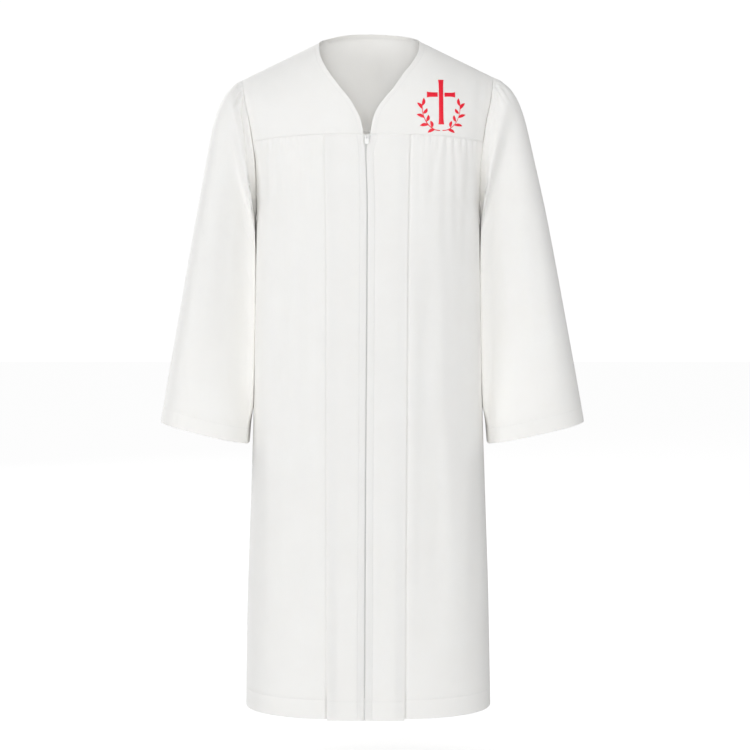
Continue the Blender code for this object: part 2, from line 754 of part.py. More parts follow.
def sleeve_ring(side, station, holes, shares):
    """All points of one sleeve ring. Near the armhole the rings take on its shape."""
    out_x = curve(SLEEVE, "out_left" if side == LEFT else "out_right")(station)
    in_z = curve(SLEEVE, "in_height")(station)
    wrap = blend(*WRAP_START, station) * (1 - blend(*WRAP_END, station))
    in_x = half_width(in_z) + curve(SLEEVE, "clear")(station) - WRAP_IN * wrap
    outer_end = np.array([out_x, 0, curve(SLEEVE, "out_height")(station)])
    inner_end = np.array([in_x, WRAP_BACK * wrap, in_z])
    half_depth = curve(SLEEVE, "half_depth")(station)
    first = SLEEVE[0]
    start_out = np.array([first.out_left, 0, first.out_height])
    start_in = np.array([half_width(first.in_height) + first.clear, 0, first.in_height])
    halves = []
    for face in (FRONT, BACK):
        plain = half_ring(outer_end, inner_end, half_depth, face, shares)
        start = half_ring(start_out, start_in, first.half_depth, face, shares)
        shift = holes[face] + np.array([SLEEVE_SEAM_GAP, 0, 0]) - start
        half = plain + shift * (1 - blend(0, 2.2, station))
        for point in half:
            keep_clear(point, wrap)
        halves.append(half)
    return np.concatenate([halves[0], halves[1][-2:0:-1]])


def keep_clear(point, wrap):
    """Moves a sleeve point out to where it lies just beside the body's side."""
    x, y, z = point
    face = FRONT if y < 0 else BACK
    inside = max(1 - (abs(y) / depth_of[face](z)) ** RING_POWER, 0.0)
    side = half_width(z) * inside ** (1 / RING_POWER) + BODY_CLEAR
    point[0] = max(x, side) if wrap > 0 else x


def sleeve_folds(side, stations, shares):
    """How far the folds beside the armhole seam go in, for each point of each ring."""
    heights = np.zeros((len(stations), 2 * len(shares) - 2))
    for fold in SLEEVE_FOLDS:
        if fold.side != side:
            continue
        for i, station in enumerate(stations):
            width = math.exp(-(((station - fold.station) / fold.half_width) ** 2)) * blend(0, 0.3, station)
            for j, share in enumerate(shares[1:-1], start=1):
                along = blend(fold.top - 0.12, fold.top, share) * (1 - blend(fold.low, fold.low + 0.12, share))
                heights[i, j if fold.face == FRONT else -j] -= fold.depth * width * along
    return heights


def sleeve(side):
    """A wide set-in sleeve, from the armhole to its open cuff, with the hem as a double wall."""
    name = "sleeve_left" if side == LEFT else "sleeve_right"
    shares = np.linspace(0, 1, SLEEVE_SIDES // 2 + 1)
    holes = {face: armhole_line(face, len(shares)) for face in (FRONT, BACK)}
    stations = SLEEVE_STATIONS + [10 + HEM_STEP / SLEEVE_HEM, 11]
    walls = [WALL] * len(SLEEVE_STATIONS) + [HEM_WALL] * 2
    base = np.array([sleeve_ring(side, station, holes, shares) for station in stations])
    fold = sleeve_folds(side, stations, shares)
    if side == LEFT:
        base, fold = base[:, ::-1], fold[:, ::-1]
    else:
        base[:, :, 0] *= -1
    square = normals(base, loop=True)
    outer = base + square * fold[:, :, None]
    inner = outer - square * np.asarray(walls)[:, None, None]
    rows_out = [list(row) for row in outer]
    rows_in = [list(row) for row in inner]
    return wall_solid(name, rows_out, rows_in, loop=True)


def slider_back():
    """The y of the slider's back face, just in front of the zip tape at the slider's lower end."""
    low = SLIDER_TOP - SLIDER_BODY[1]
    tape = torso_depth(SLIDER_X, low, FRONT) - PLACKET_LIFT + WALL + SEAM_GAP
    return tape - SEAM_GAP


def pivot():
    """The middle of the pull tab's bar, inside the slider's arch."""
    return np.array([SLIDER_X, slider_back() - SLIDER_BODY[2] - PIVOT_OUT, SLIDER_TOP - PIVOT_DROP])


def slider_arch():
    """The arch over the slider's front, as a bent bar that starts inside the slider's body."""
    x, y, z = pivot()
    root = PIVOT_OUT + ARCH_ROOT
    turn = np.linspace(math.pi / 2, -math.pi / 2, 9)
    walls = []
    for radius in (ARCH_OUT, ARCH_IN):
        line = [(root, radius)] + [(-radius * math.cos(a), radius * math.sin(a)) for a in turn] + [(root, -radius)]
        walls.append([[(x + half, y + out, z + up) for half in (-ARCH_WIDTH / 2, ARCH_WIDTH / 2)] for out, up in line])
    return wall_solid("arch", walls[0], walls[1], look=PAINTED_METAL)


def zip_slider():
    """A small rounded body with an arch over its front, which the pull tab hangs from."""
    width, length, thick = SLIDER_BODY
    bm = bmesh.new()
    bmesh.ops.create_cube(bm, size=1.0)
    bmesh.ops.scale(bm, vec=(width, thick, length), verts=bm.verts)
    bmesh.ops.translate(bm, vec=(SLIDER_X, slider_back() - thick / 2, SLIDER_TOP - length / 2), verts=bm.verts)
    upright = [e for e in bm.edges if abs(e.verts[0].co.y - e.verts[1].co.y) > thick / 2]
    bmesh.ops.bevel(bm, geom=upright, offset=SLIDER_CORNER, segments=3, affect="EDGES", profile=0.5)
    body = add_object("zip_slider", bm, PAINTED_METAL)
    arch = slider_arch()
    join = body.modifiers.new("join", "BOOLEAN")
    join.operation = "UNION"
    join.solver = "EXACT"
    join.object = arch
    joined = body.evaluated_get(bpy.context.evaluated_depsgraph_get())
    mesh = bpy.data.meshes.new_from_object(joined)
    body.modifiers.clear()
    body.data = mesh
    bpy.data.objects.remove(arch, do_unlink=True)
    return body


def outline_loop(half_width_mm, half_length, power, middle, y):
    """A rounded upright outline round a middle height, beside the pivot."""
    x = pivot()[0]
    points = []
    for i in range(PULL_SIDES):
        turn = 2 * math.pi * i / PULL_SIDES
        side = math.copysign(abs(math.sin(turn)) ** (2 / power), math.sin(turn))
        up = math.copysign(abs(math.cos(turn)) ** (2 / power), math.cos(turn))
        points.append((x + half_width_mm * side, y, middle + half_length * up))
    return points


def zip_pull():
    """The pull tab: a flat rounded plate whose eye goes round the slider's arch."""
    y, z = pivot()[1:]
    plate = (z + PULL_BAR - PULL_LENGTH / 2, PULL_WIDTH / 2, PULL_LENGTH / 2, PULL_POWER)
    eye = (z - PULL_BAR - EYE_LENGTH / 2, EYE_WIDTH / 2, EYE_LENGTH / 2, EYE_POWER)
    walls = []
    for face in (y - PULL_THICK / 2, y + PULL_THICK / 2):
        walls.append([outline_loop(wide, tall, power, middle, face) for middle, wide, tall, power in (plate, eye)])
    return wall_solid("zip_pull", walls[0], walls[1], loop=True, look=PAINTED_METAL)


def main():
    for old in list(bpy.data.objects):
        bpy.data.objects.remove(old, do_unlink=True)
    for side in (RIGHT, LEFT):
        front_yoke(side)
        front_panel(side)
        placket(side)
        zip_tape(side)
        sleeve(side)
    back_yoke()
    back_panel()
    neck_facing()
    zip_slider()
    zip_pull()


main()
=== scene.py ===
"""Looks of the confirmation robe: fine cloth shells on the solids' form, stitching, zip teeth, materials,
camera and lights.

The shells repeat the cut's sizes and functions of the part's source, in millimetres, at a finer spacing and
with listed creases. Everything is turned into metres when a mesh is made.
"""

import math
from collections import namedtuple

import bpy
import numpy as np
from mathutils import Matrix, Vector


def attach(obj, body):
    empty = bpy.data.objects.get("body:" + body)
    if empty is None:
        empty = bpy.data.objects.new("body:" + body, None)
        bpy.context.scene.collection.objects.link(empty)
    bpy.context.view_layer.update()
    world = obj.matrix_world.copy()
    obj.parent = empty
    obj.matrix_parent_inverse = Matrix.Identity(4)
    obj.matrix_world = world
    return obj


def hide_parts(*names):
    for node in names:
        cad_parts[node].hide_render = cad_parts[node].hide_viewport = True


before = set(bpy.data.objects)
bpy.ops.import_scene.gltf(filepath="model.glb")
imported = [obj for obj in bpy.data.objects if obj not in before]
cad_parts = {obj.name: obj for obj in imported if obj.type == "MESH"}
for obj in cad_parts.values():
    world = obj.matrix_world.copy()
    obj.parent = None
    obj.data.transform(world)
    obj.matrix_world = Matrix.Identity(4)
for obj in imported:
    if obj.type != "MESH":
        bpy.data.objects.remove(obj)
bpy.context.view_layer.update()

MM = 0.001
FRONT = -1
BACK = 1
LEFT = 1
RIGHT = -1
HAND = {RIGHT: "right", LEFT: "left"}

# Cloth and seams
WALL = 1.4
HEM_WALL = 2.7
SEAM_GAP = 0.3

# Heights and depths of the cut
LENGTH = 1175.0
BODY_HEM = 33.0
SLEEVE_HEM = 27.0
PLACKET_DROP = 2.5
TUCK = 18.0
PLACKET_LIFT = 0.4
UNDERARM = -300.0
RING_POWER = 3.0
SLEEVE_POWER = 2.6

# How the worn robe settles: the wearer's right shoulder lies lower, and the hem rises towards the sides
SHOULDER_DIP = 5.0
HEM_RISE = 4.5

# Shoulder ridge and yoke seams
RIDGE_TOP = 4.0
RIDGE_START = 88.0
RIDGE_SLOPE = 0.485
SHOULDER_X = 222.0
SHOULDER_ROUNDING = 0.68
YOKE_HALF = 201.6
SEAM_HEIGHT = {FRONT: -165.5, BACK: -150.0}
SEAM_DROP = {FRONT: 11.5, BACK: 10.0}

# Back neckline
NECK_SIDE = {LEFT: 92.0, RIGHT: 86.3}
NECK_BACK = 62.0
NECK_RISE = 17.0
NECK_SEAM_X = 96.0
NECK_TURN = 0.4
NECK_ROUNDER = 0.18
FACING_WIDTH = 6.5
FACING_TURN = 0.25


def rows_of(columns, *rows):
    """A table: rows of numbers that go by the names of their columns."""
    row_of = namedtuple("row_of", columns)
    return [row_of(*row) for row in rows]


BODY = rows_of(
    "height half_width front back", (-1175, 218.0, 152, 140), (-988, 214.2, 144, 137),
    (-810, 208.3, 136, 133), (-632, 203.0, 128, 128), (-454, 199.3, 119, 122), (-300, 197.3, 111, 117),
    (-250, 198.0, 108, 115), (-215, 201.0, 106, 113), (-177, 210.0, 103, 111), (-130, 221.5, 100, 107),
    (-97, 229.0, 98, 103), (-57, 234.0, 97, 99))

# The armhole's depth on the body's ring, as a share of the ring's own depth
ARMHOLE = rows_of(
    "height front back", (-300, 0.0, 0.0), (-297, 0.07, 0.07), (-288, 0.14, 0.14), (-268, 0.22, 0.23),
    (-240, 0.30, 0.32), (-215, 0.38, 0.40), (-177, 0.49, 0.50), (-130, 0.54, 0.52), (-97, 0.54, 0.52),
    (-60, 0.53, 0.52))

# The V neck edge on each side of the front
NECK = rows_of(
    "height right left", (-165.5, -7.6, 4.6), (-157, -8.8, 5.4), (-140, -12.5, 8.7), (-122, -21, 15.5),
    (-104, -31.5, 28), (-85, -46, 44), (-57, -65, 63.5), (-38, -76, 78), (-15, -84.5, 89.5),
    (5, -86.3, 92))

# The placket strips' edges, from the wearer's right to the left
STRIPS = rows_of(
    "height right_outer right_inner left_inner left_outer",
    (-1174, -70.8, -6.8, -4.8, 63.4),
    (-800, -70.8, -5.0, -3.0, 65.5),
    (-436, -70.8, -2.5, -0.5, 67.7),
    (-290, -71.6, -2.0, 0.0, 69.4),
    (-200, -73.6, -4.4, -2.2, 71.2),
    (-184, -74.0, -5.4, -0.6, 71.9),
    (-177, -74.2, -6.4, 2.6, 72.3),
    (-165, -74.5, -7.6, 4.6, 73.0),
)

# Valleys between the gathers under the yoke seams: place across, depth and length down the panel
GATHER_EDGE = 12.0
GATHER = "across depth length"
GATHERS_LEFT = rows_of(
    GATHER, (83, 0.7, 40), (91, 0.9, 60), (100, 1.2, 70), (110, 1.5, 60), (122, 1.6, 80), (136, 1.8, 90),
    (150, 2.1, 110), (163, 1.7, 80), (174, 2.0, 100), (184, 1.7, 70), (193, 1.5, 60))
GATHERS_RIGHT = rows_of(
    GATHER, (90, 0.4, 40), (103, 0.6, 45), (114, 1.1, 60), (125, 1.3, 60), (136, 1.6, 90),
    (147, 1.7, 110), (157, 1.3, 70), (167, 1.8, 120), (177, 1.5, 90), (189, 1.1, 60))
GATHERS_BACK = rows_of(
    GATHER, (-186, 1.3, 60), (-172, 1.7, 90), (-156, 1.9, 110), (-141, 1.5, 70), (-124, 2.0, 120),
    (-106, 1.6, 80), (-89, 1.9, 100), (-70, 1.4, 70), (-52, 1.8, 110), (-33, 1.5, 80), (-14, 1.7, 90),
    (5, 1.9, 120), (24, 1.4, 70), (44, 1.7, 100), (62, 1.5, 80), (81, 2.0, 110), (99, 1.6, 80),
    (117, 1.8, 100), (134, 1.4, 70), (150, 1.9, 120), (166, 1.6, 90), (182, 1.3, 60))

# Long soft troughs down the panels: place across, depth, half width, and the heights between which they run
TROUGH = "across depth half_width top bottom"
TROUGHS_LEFT = rows_of(
    TROUGH, (166, 5.0, 20, -215, -900), (112, 2.5, 22, -330, -1171))
TROUGHS_RIGHT = rows_of(
    TROUGH, (160, 3.5, 18, -215, -800), (108, 3.0, 22, -300, -1171))
TROUGHS_BACK = rows_of(
    TROUGH, (-150, 6.0, 22, -200, -1171), (-88, 5.0, 20, -240, -1171), (-30, 6.5, 24, -220, -1171),
    (38, 5.0, 20, -260, -1171), (96, 6.0, 24, -230, -1171), (152, 5.0, 20, -200, -1171))

# Sleeve rings: the outer and the inner end of each ring seen from the front, and half its depth.
# The first row stands for the armhole, and the last two for the hem's stitch line and the cuff.
SLEEVE = rows_of(
    "station out_right out_left out_height in_height clear half_depth",
    (0, 222.0, 222.0, -60.7, -300, 0.5, 50),
    (1, 235.0, 238.0, -69, -318, 1.6, 64),
    (2, 249.0, 254.5, -84, -340, 2.2, 70),
    (3, 262.5, 267.5, -108, -366, 2.2, 73),
    (4, 272.5, 278.5, -140, -394, 2.2, 75),
    (5, 283.0, 290.5, -195, -436, 2.2, 77),
    (6, 297.5, 308.5, -272, -492, 2.2, 80),
    (7, 316.5, 329.0, -375, -550, 2.4, 84),
    (8, 336.0, 350.0, -486, -602, 3.0, 88),
    (9, 353.5, 368.0, -582, -650, 4.2, 92),
    (10, 363.6, 378.6, -641, -679.5, 5.4, 94),
    (11, 368.5, 383.2, -667.6, -706.3, 6.6, 95),
)
SLEEVE_SEAM_GAP = 0.5

# The sleeve's inner side leans back and wraps the body's side between these stations
WRAP_START = (1.2, 3.0)
WRAP_END = (6.6, 9.9)
WRAP_IN = 9.0
WRAP_BACK = 52.0
BODY_CLEAR = 2.0
# The station where the rings are free of the armhole's shape
CAP_END = 2.2

# Folds that run beside the armhole seams, on the sleeve: a station, its half width in stations, the depth,
# and the shares of the half ring between which the fold lies
SLEEVE_FOLDS = rows_of(
    "side face station half_width depth top low", (LEFT, FRONT, 0.85, 0.42, 4.0, 0.30, 0.86),
    (RIGHT, FRONT, 0.95, 0.42, 5.5, 0.20, 0.86), (LEFT, BACK, 0.95, 0.45, 4.0, 0.25, 0.85),
    (RIGHT, BACK, 0.90, 0.45, 3.5, 0.28, 0.85))

TAPE_REACH = 14.0
COIL_GAP = 0.4


def curve(table, column):
    """A smooth line through one column of a table, against its first column, that never overshoots."""
    rows = sorted(table, key=lambda row: row[0])
    keys = np.array([row[0] for row in rows], float)
    values = np.array([getattr(row, column) for row in rows], float)
    steps = np.diff(keys)
    slopes = np.diff(values) / steps
    tangents = np.empty(len(keys))
    tangents[0] = slopes[0]
    tangents[-1] = slopes[-1]
    for i in range(1, len(slopes)):
        before, after = slopes[i - 1], slopes[i]
        tangents[i] = 2 * before * after / (before + after) if before * after > 0 else 0.0

    def value(at):
        i = int(min(max(np.searchsorted(keys, at) - 1, 0), len(steps) - 1))
        t = min(max((at - keys[i]) / steps[i], 0.0), 1.0)
        ease = t * t * (3 - 2 * t)
        rise = steps[i] * (tangents[i] * t * (1 - t) ** 2 - tangents[i + 1] * t * t * (1 - t))
        return float(values[i] + (values[i + 1] - values[i]) * ease + rise)

    return value


def blend(low, high, at):
    """0 below low, 1 above high and smooth between, for a number or an array."""
    t = np.clip((at - low) / (high - low), 0.0, 1.0)
    return t * t * (3 - 2 * t)


def bell(distance, width):
    """1 at no distance, falling off smoothly on both sides."""
    return np.exp(-((distance / width) ** 2))


def lengths(points, axis=0):
    """How far each point of a line, or of a grid one way, lies from the first."""
    step = np.linalg.norm(np.diff(points, axis=axis), axis=-1)
    return np.concatenate([np.zeros_like(np.take(step, [0], axis)), np.cumsum(step, axis)], axis)


def along(line, run, at):
    """The points of a line at lengths along it."""
    return np.stack([np.interp(at, run, line[:, k]) for k in range(line.shape[1])], axis=-1)


half_width = curve(BODY, "half_width")
depth_of = {FRONT: curve(BODY, "front"), BACK: curve(BODY, "back")}
armhole_share = {FRONT: curve(ARMHOLE, "front"), BACK: curve(ARMHOLE, "back")}
neck_edge = {RIGHT: curve(NECK, "right"), LEFT: curve(NECK, "left")}
strip_outer = {RIGHT: curve(STRIPS, "right_outer"), LEFT: curve(STRIPS, "left_outer")}
strip_inner = {RIGHT: curve(STRIPS, "right_inner"), LEFT: curve(STRIPS, "left_inner")}


def ridge_height(x):
    return RIDGE_TOP - RIDGE_SLOPE * (abs(x) - RIDGE_START)


def seam_height(x, face):
    return SEAM_HEIGHT[face] - SEAM_DROP[face] * (abs(x) / YOKE_HALF) ** 3


def shoulder_share(x, z, face):
    """How far the cloth has come away from the shoulder ridge: 0 on the ridge, 1 at the yoke seam."""
    top = ridge_height(x)
    down = min(max((top - z) / (top - seam_height(x, face)), 0.0), 1.0)
    return (1 - (1 - down) ** 2) ** SHOULDER_ROUNDING


def torso_depth(x, z, face):
    """The body form's y at a place across and a height."""
    rest = max(1 - (abs(x) / half_width(z)) ** RING_POWER, 0.0)
    return face * depth_of[face](z) * rest ** (1 / RING_POWER) * shoulder_share(x, z, face)


def ring(z, face):
    """The body's outline at a height, from the middle to the side: x, y and the length run so far."""
    turn = np.linspace(0, math.pi / 2, 181)
    x = half_width(z) * np.sin(turn) ** (2 / RING_POWER)
    y = face * depth_of[face](z) * np.cos(turn) ** (2 / RING_POWER)
    run = np.concatenate([[0], np.cumsum(np.hypot(np.diff(x), np.diff(y)))])
    return x, y, run


def armhole_at(z, face):
    """The armhole's point at a height."""
    share = armhole_share[face](z)
    x = half_width(z) * (1 - share**RING_POWER) ** (1 / RING_POWER)
    return np.array([x, face * depth_of[face](z) * share * shoulder_share(x, z, face), z])


def shoulder_end():
    """Where the shoulder ridge meets the armhole."""
    return np.array([SHOULDER_X, 0.0, ridge_height(SHOULDER_X)])


def armhole_line(face, count):
    """Points along the armhole from the shoulder to the underarm, evenly spaced."""
    top = shoulder_end()
    ease = 0.5 - 0.5 * np.cos(np.linspace(0, math.pi, 241))
    heights = top[2] + (UNDERARM - top[2]) * ease
    points = np.array([top] + [armhole_at(z, face) for z in heights[1:]])
    run = lengths(points)
    return along(points, run, np.linspace(0, run[-1], count))


def normals(grid, loop=False):
    """Each point's direction square to the grid's two ways, from its neighbours."""
    across = np.gradient(grid, axis=1)
    if loop:
        across = np.roll(grid, -1, axis=1) - np.roll(grid, 1, axis=1)
    square = np.cross(np.gradient(grid, axis=0), across)
    return square / np.linalg.norm(square, axis=2, keepdims=True)


def trough_height(troughs, across, z):
    """How far the long troughs go in, at places across and heights."""
    height = 0.0
    for trough in troughs:
        ends = (1 - blend(trough.top - 120, trough.top, z)) * blend(trough.bottom, trough.bottom + 250, z)
        height = height - trough.depth * bell(across - trough.across, trough.half_width) * ends
    return height


def back_yoke_point(turn, down):
    """A point of the back yoke. turn runs from -1 to 1 across it, and down from the top edge to the seam.

    The fall from the neck edge is flatter than the fall from the shoulder, and the two melt into each other.
    """
    side = LEFT if turn >= 0 else RIGHT
    neck = NECK_SIDE[side]
    end = shoulder_end()
    corner = armhole_at(seam_height(YOKE_HALF, BACK), BACK)
    at_neck = abs(turn) / NECK_TURN
    rounding = SHOULDER_ROUNDING - NECK_ROUNDER * (1 - blend(1, 2, at_neck))
    from_neck = 1 - (1 - down) ** 1.5
    from_ridge = (1 - (1 - down) ** 2) ** rounding
    fall = from_neck + (from_ridge - from_neck) * min(max(2 * at_neck - 1, 0.0), 1.0) ** 1.5
    if at_neck <= 1:
        angle = math.pi / 2 * at_neck
        middle = (ridge_height(NECK_SIDE[LEFT]) + ridge_height(NECK_SIDE[RIGHT])) / 2
        top_z = middle + (ridge_height(neck) - middle) * blend(0, 1, at_neck) + NECK_RISE * math.cos(angle)
        top = np.array([neck * math.sin(angle), NECK_BACK * math.cos(angle), top_z])
        low_x = NECK_SEAM_X * at_neck
    else:
        share = (abs(turn) - NECK_TURN) / (1 - NECK_TURN)
        top_x = neck + (end[0] - neck) * share
        top = np.array([top_x, 0.0, ridge_height(top_x)])
        low_x = NECK_SEAM_X + (corner[0] - NECK_SEAM_X) * share
    low_z = seam_height(low_x, BACK)
    low = np.array([low_x, torso_depth(low_x, low_z, BACK), low_z])
    point = top + (low - top) * np.array([down, fall, down])
    if down > 0:
        arm = armhole_at(end[2] + (corner[2] - end[2]) * down, BACK)
        point += (arm - point) * blend(0.8, 1.0, abs(turn))
    return point * np.array([side, 1, 1])


def wrap_at(station):
    return blend(*WRAP_START, station) * (1 - blend(*WRAP_END, station))


def half_ring(side, station, face, shares):
    """Points of half a sleeve ring, from its outer end round the front or back to its inner end."""
    columns = ("out_" + HAND[side], "out_height", "in_height", "clear", "half_depth")
    out_x, out_z, in_z, clear, half_depth = [curve(SLEEVE, column)(station) for column in columns]
    wrap = wrap_at(station)
    outer_end = np.array([out_x, 0, out_z])
    inner_end = np.array([half_width(in_z) + clear - WRAP_IN * wrap, WRAP_BACK * wrap, in_z])
    turn = np.linspace(0, math.pi, 241)
    reach = np.sign(np.cos(turn)) * np.abs(np.cos(turn)) ** (2 / SLEEVE_POWER)
    points = (outer_end + inner_end) / 2 + (outer_end - inner_end) / 2 * reach[:, None]
    points[:, 1] += np.sin(turn) ** (2 / SLEEVE_POWER) * half_depth * face
    run = lengths(points)
    return along(points, run, shares * run[-1])


def sleeve_ring(side, station, holes, shares):
    """All points of one sleeve ring. Near the armhole the rings take on its shape."""
    halves = []
    for face in (FRONT, BACK):
        shift = holes[face] + np.array([SLEEVE_SEAM_GAP, 0, 0]) - half_ring(side, 0, face, shares)
        half = half_ring(side, station, face, shares) + shift * (1 - blend(0, CAP_END, station))
        if wrap_at(station) > 0:
            keep_clear(half)
        halves.append(half)
    return np.concatenate([halves[0], halves[1][-2:0:-1]])


def keep_clear(points):
    """Moves sleeve points out to where they lie just beside the body's side."""
    for point in points:
        x, y, z = point
        inside = max(1 - (abs(y) / depth_of[FRONT if y < 0 else BACK](z)) ** RING_POWER, 0.0)
        point[0] = max(x, half_width(z) * inside ** (1 / RING_POWER) + BODY_CLEAR)


def sleeve_folds(side, stations, shares):
    """How far the folds beside the armhole seam go in, for each point of each ring."""
    inner = len(shares) - 1
    heights = np.zeros((len(stations), 2 * inner))
    for fold in SLEEVE_FOLDS:
        if fold.side == side:
            width = bell(stations - fold.station, fold.half_width) * blend(0, 0.3, stations)
            ends = blend(fold.top - 0.12, fold.top, shares) * (1 - blend(fold.low, fold.low + 0.12, shares))
            columns = slice(1, inner) if fold.face == FRONT else slice(-1, -inner, -1)
            heights[:, columns] -= fold.depth * np.outer(width, ends[1:-1])
    return heights


# What follows is finer than the solids: thin walls, closed seams, creases, stitching

CLOTH_WALL = 0.9
CLOTH_HEM = 0.95
TAPE_THICK = 0.7
JOIN = 0.06
SEAM_ROLL = 0.55
ROLL_REACH = 1.7
DIP_ACROSS = (25, 90)
DIP_DOWN = (-190, -50)
RISE_DOWN = (-760, -LENGTH)
HEM_HALF = half_width(-LENGTH)
STITCH_LINE = -LENGTH + BODY_HEM
ZIP_TOP = SEAM_HEIGHT[FRONT]
TOPSTITCH = {LEFT: 12.3, RIGHT: 11.6}
NECK_STITCH_IN = 3.5
CUFF_ROW = -12
FACING_THICK = 0.7
FACING_BEHIND = 0.45

CREASE = "x0 z0 x1 z1 half_width depth"

# Creases seen from the front: where each starts and ends, half its width, and how deep it is
PANEL_CREASES = {
    LEFT: rows_of(
        CREASE, (84, -172, 92, -330, 5, 0.9), (118, -176, 108, -300, 7, 1.0),
        (137, -178, 132, -420, 9, 1.3), (152, -180, 156, -390, 7, 1.5), (176, -182, 170, -460, 8, 1.6),
        (98, -420, 92, -1150, 16, 1.2), (140, -300, 150, -900, 14, 1.8), (120, -640, 128, -1160, 16, 1.3),
        (190, -700, 186, -1150, 12, 1.5)),
    RIGHT: rows_of(
        CREASE, (-86, -172, -92, -320, 5, 0.8), (-112, -175, -106, -330, 7, 1.0),
        (-134, -178, -130, -380, 8, 1.2), (-158, -180, -162, -420, 8, 1.4),
        (-182, -182, -176, -400, 7, 1.2), (-100, -380, -94, -1140, 16, 1.2),
        (-146, -320, -154, -960, 15, 1.7), (-126, -700, -132, -1160, 16, 1.2),
        (-192, -640, -190, -1150, 12, 1.3)),
}
BACK_CREASES = rows_of(
    CREASE, (-178, -166, -170, -460, 8, 1.5), (-132, -160, -142, -520, 9, 1.7),
    (-98, -158, -92, -400, 8, 1.4), (-62, -156, -56, -560, 10, 1.8), (-20, -154, -26, -430, 9, 1.5),
    (14, -154, 22, -610, 11, 1.7), (52, -156, 46, -390, 8, 1.5), (88, -158, 96, -560, 10, 1.8),
    (126, -160, 120, -430, 9, 1.5), (170, -166, 162, -520, 9, 1.6), (-120, -560, -112, -1160, 18, 1.8),
    (0, -520, 8, -1160, 20, 2.0), (118, -600, 126, -1160, 18, 1.8))
YOKE_CREASES = {
    FRONT: rows_of(
        CREASE, (88, -12, 60, -120, 12, 0.9), (150, -30, 176, -150, 14, 0.8),
        (200, -62, 186, -160, 8, 0.9), (-88, -14, -58, -118, 12, 0.9), (-146, -32, -172, -150, 14, 0.8),
        (-200, -64, -188, -160, 8, 0.9)),
    BACK: rows_of(
        CREASE, (110, -10, 150, -140, 14, 0.9), (-108, -12, -152, -140, 14, 0.9),
        (30, 10, 44, -130, 14, 0.7), (-34, 8, -40, -130, 14, 0.7), (198, -60, 184, -140, 9, 1.0),
        (-198, -64, -186, -140, 9, 1.0)),
}
# The fold beside the body, in the sleeve's front: how far it stands forward and leans in, and where it ends
SIDE_FOLD = 17.0
SIDE_LEAN = 5.5
SIDE_GAP = 0.6
SIDE_FOLD_REACH = 20.0
SIDE_FOLD_TOP = (-252, -305)
SIDE_FOLD_LOW = (-640, -700)
SIDE_LEAN_LOW = (-620, -680)
TURN_BACK = 1.2
SLEEVE_CREASES = {
    (LEFT, FRONT): rows_of(
        CREASE, (221, -86, 231, -122, 2.6, 1.5), (216, -80, 206, -210, 2.4, 0.8),
        (223, -74, 246, -118, 3.0, 1.2), (230, -70, 260, -122, 3.2, 0.9), (236, -65, 274, -112, 3.4, 0.7),
        (228, -86, 238, -150, 5.0, 0.8), (216, -260, 236, -520, 9.0, 0.9),
        (246, -250, 272, -600, 14.0, 0.9), (284, -260, 318, -640, 14.0, 0.8)),
    (RIGHT, FRONT): rows_of(
        CREASE, (-219, -82, -238, -124, 2.8, 1.9), (-214, -84, -219, -150, 4.0, 2.2),
        (-217, -106, -193, -300, 4.2, 4.0), (-224, -74, -250, -108, 3.4, 0.7),
        (-216, -260, -232, -500, 9.0, 0.7), (-244, -260, -266, -600, 14.0, 0.8),
        (-280, -280, -306, -640, 14.0, 0.7)),
    (LEFT, BACK): rows_of(
        CREASE, (221, -84, 240, -134, 3.4, 1.2), (228, -74, 262, -132, 4.0, 0.9),
        (218, -220, 244, -480, 9.0, 1.4), (246, -260, 276, -600, 14.0, 1.3),
        (284, -260, 322, -640, 14.0, 1.0)),
    (RIGHT, BACK): rows_of(
        CREASE, (-221, -86, -238, -132, 3.4, 1.2), (-228, -76, -256, -130, 4.0, 0.9),
        (-216, -220, -238, -470, 9.0, 1.3), (-244, -280, -270, -600, 14.0, 1.3),
        (-280, -260, -312, -640, 14.0, 1.0)),
}


def creases_at(grid, creases):
    """How far the creases press in (negative) or stand out, at each point of a grid."""
    height = np.zeros(grid.shape[:2])
    for crease in creases:
        start = np.array([crease.x0, crease.z0])
        way = np.array([crease.x1, crease.z1]) - start
        length = np.hypot(*way)
        flat = grid[..., [0, 2]] - start
        down = flat @ way / length**2
        beside = flat @ np.array([-way[1], way[0]]) / (length * crease.half_width)
        fade = blend(-0.02, 0.12, down) * (1 - blend(0.35, 1.0, down))
        height -= crease.depth * fade * (1 - 0.8 * beside**2) * np.exp(-(beside**2) / 1.5)
    return height


def drift(grid, phase, size):
    """Slow unevenness of hanging cloth."""
    x, z = grid[..., 0], grid[..., 2]
    wave = np.sin(x / 31 + 0.9 * np.sin(z / 151 + phase) + phase)
    wave += 0.6 * np.sin(x / 17 - z / 270 + 2.1 * phase)
    return size * (wave + 0.5 * np.sin(z / 83 + x / 57 + 1.7 * phase))


def roll(distance):
    """How far an edge at a seam turns in, at a distance from it."""
    return -SEAM_ROLL * bell(distance, ROLL_REACH)


def settle(points):
    """Where points of the even form lie on the worn robe."""
    x, y, z = points[..., 0], points[..., 1], points[..., 2]
    z = z - SHOULDER_DIP * blend(*DIP_ACROSS, -x) * blend(*DIP_DOWN, z)
    z = z + HEM_RISE * np.minimum(np.abs(x) / HEM_HALF, 1.0) ** 3 * blend(*RISE_DOWN, z)
    return np.stack([x, y, z], axis=-1)


def spread(*stops):
    """Numbers from stop to stop. Each stop but the first is (value, number of steps to it)."""
    values = [float(stops[0])]
    for value, steps in stops[1:]:
        values += list(np.linspace(values[-1], value, steps + 1)[1:])
    return values


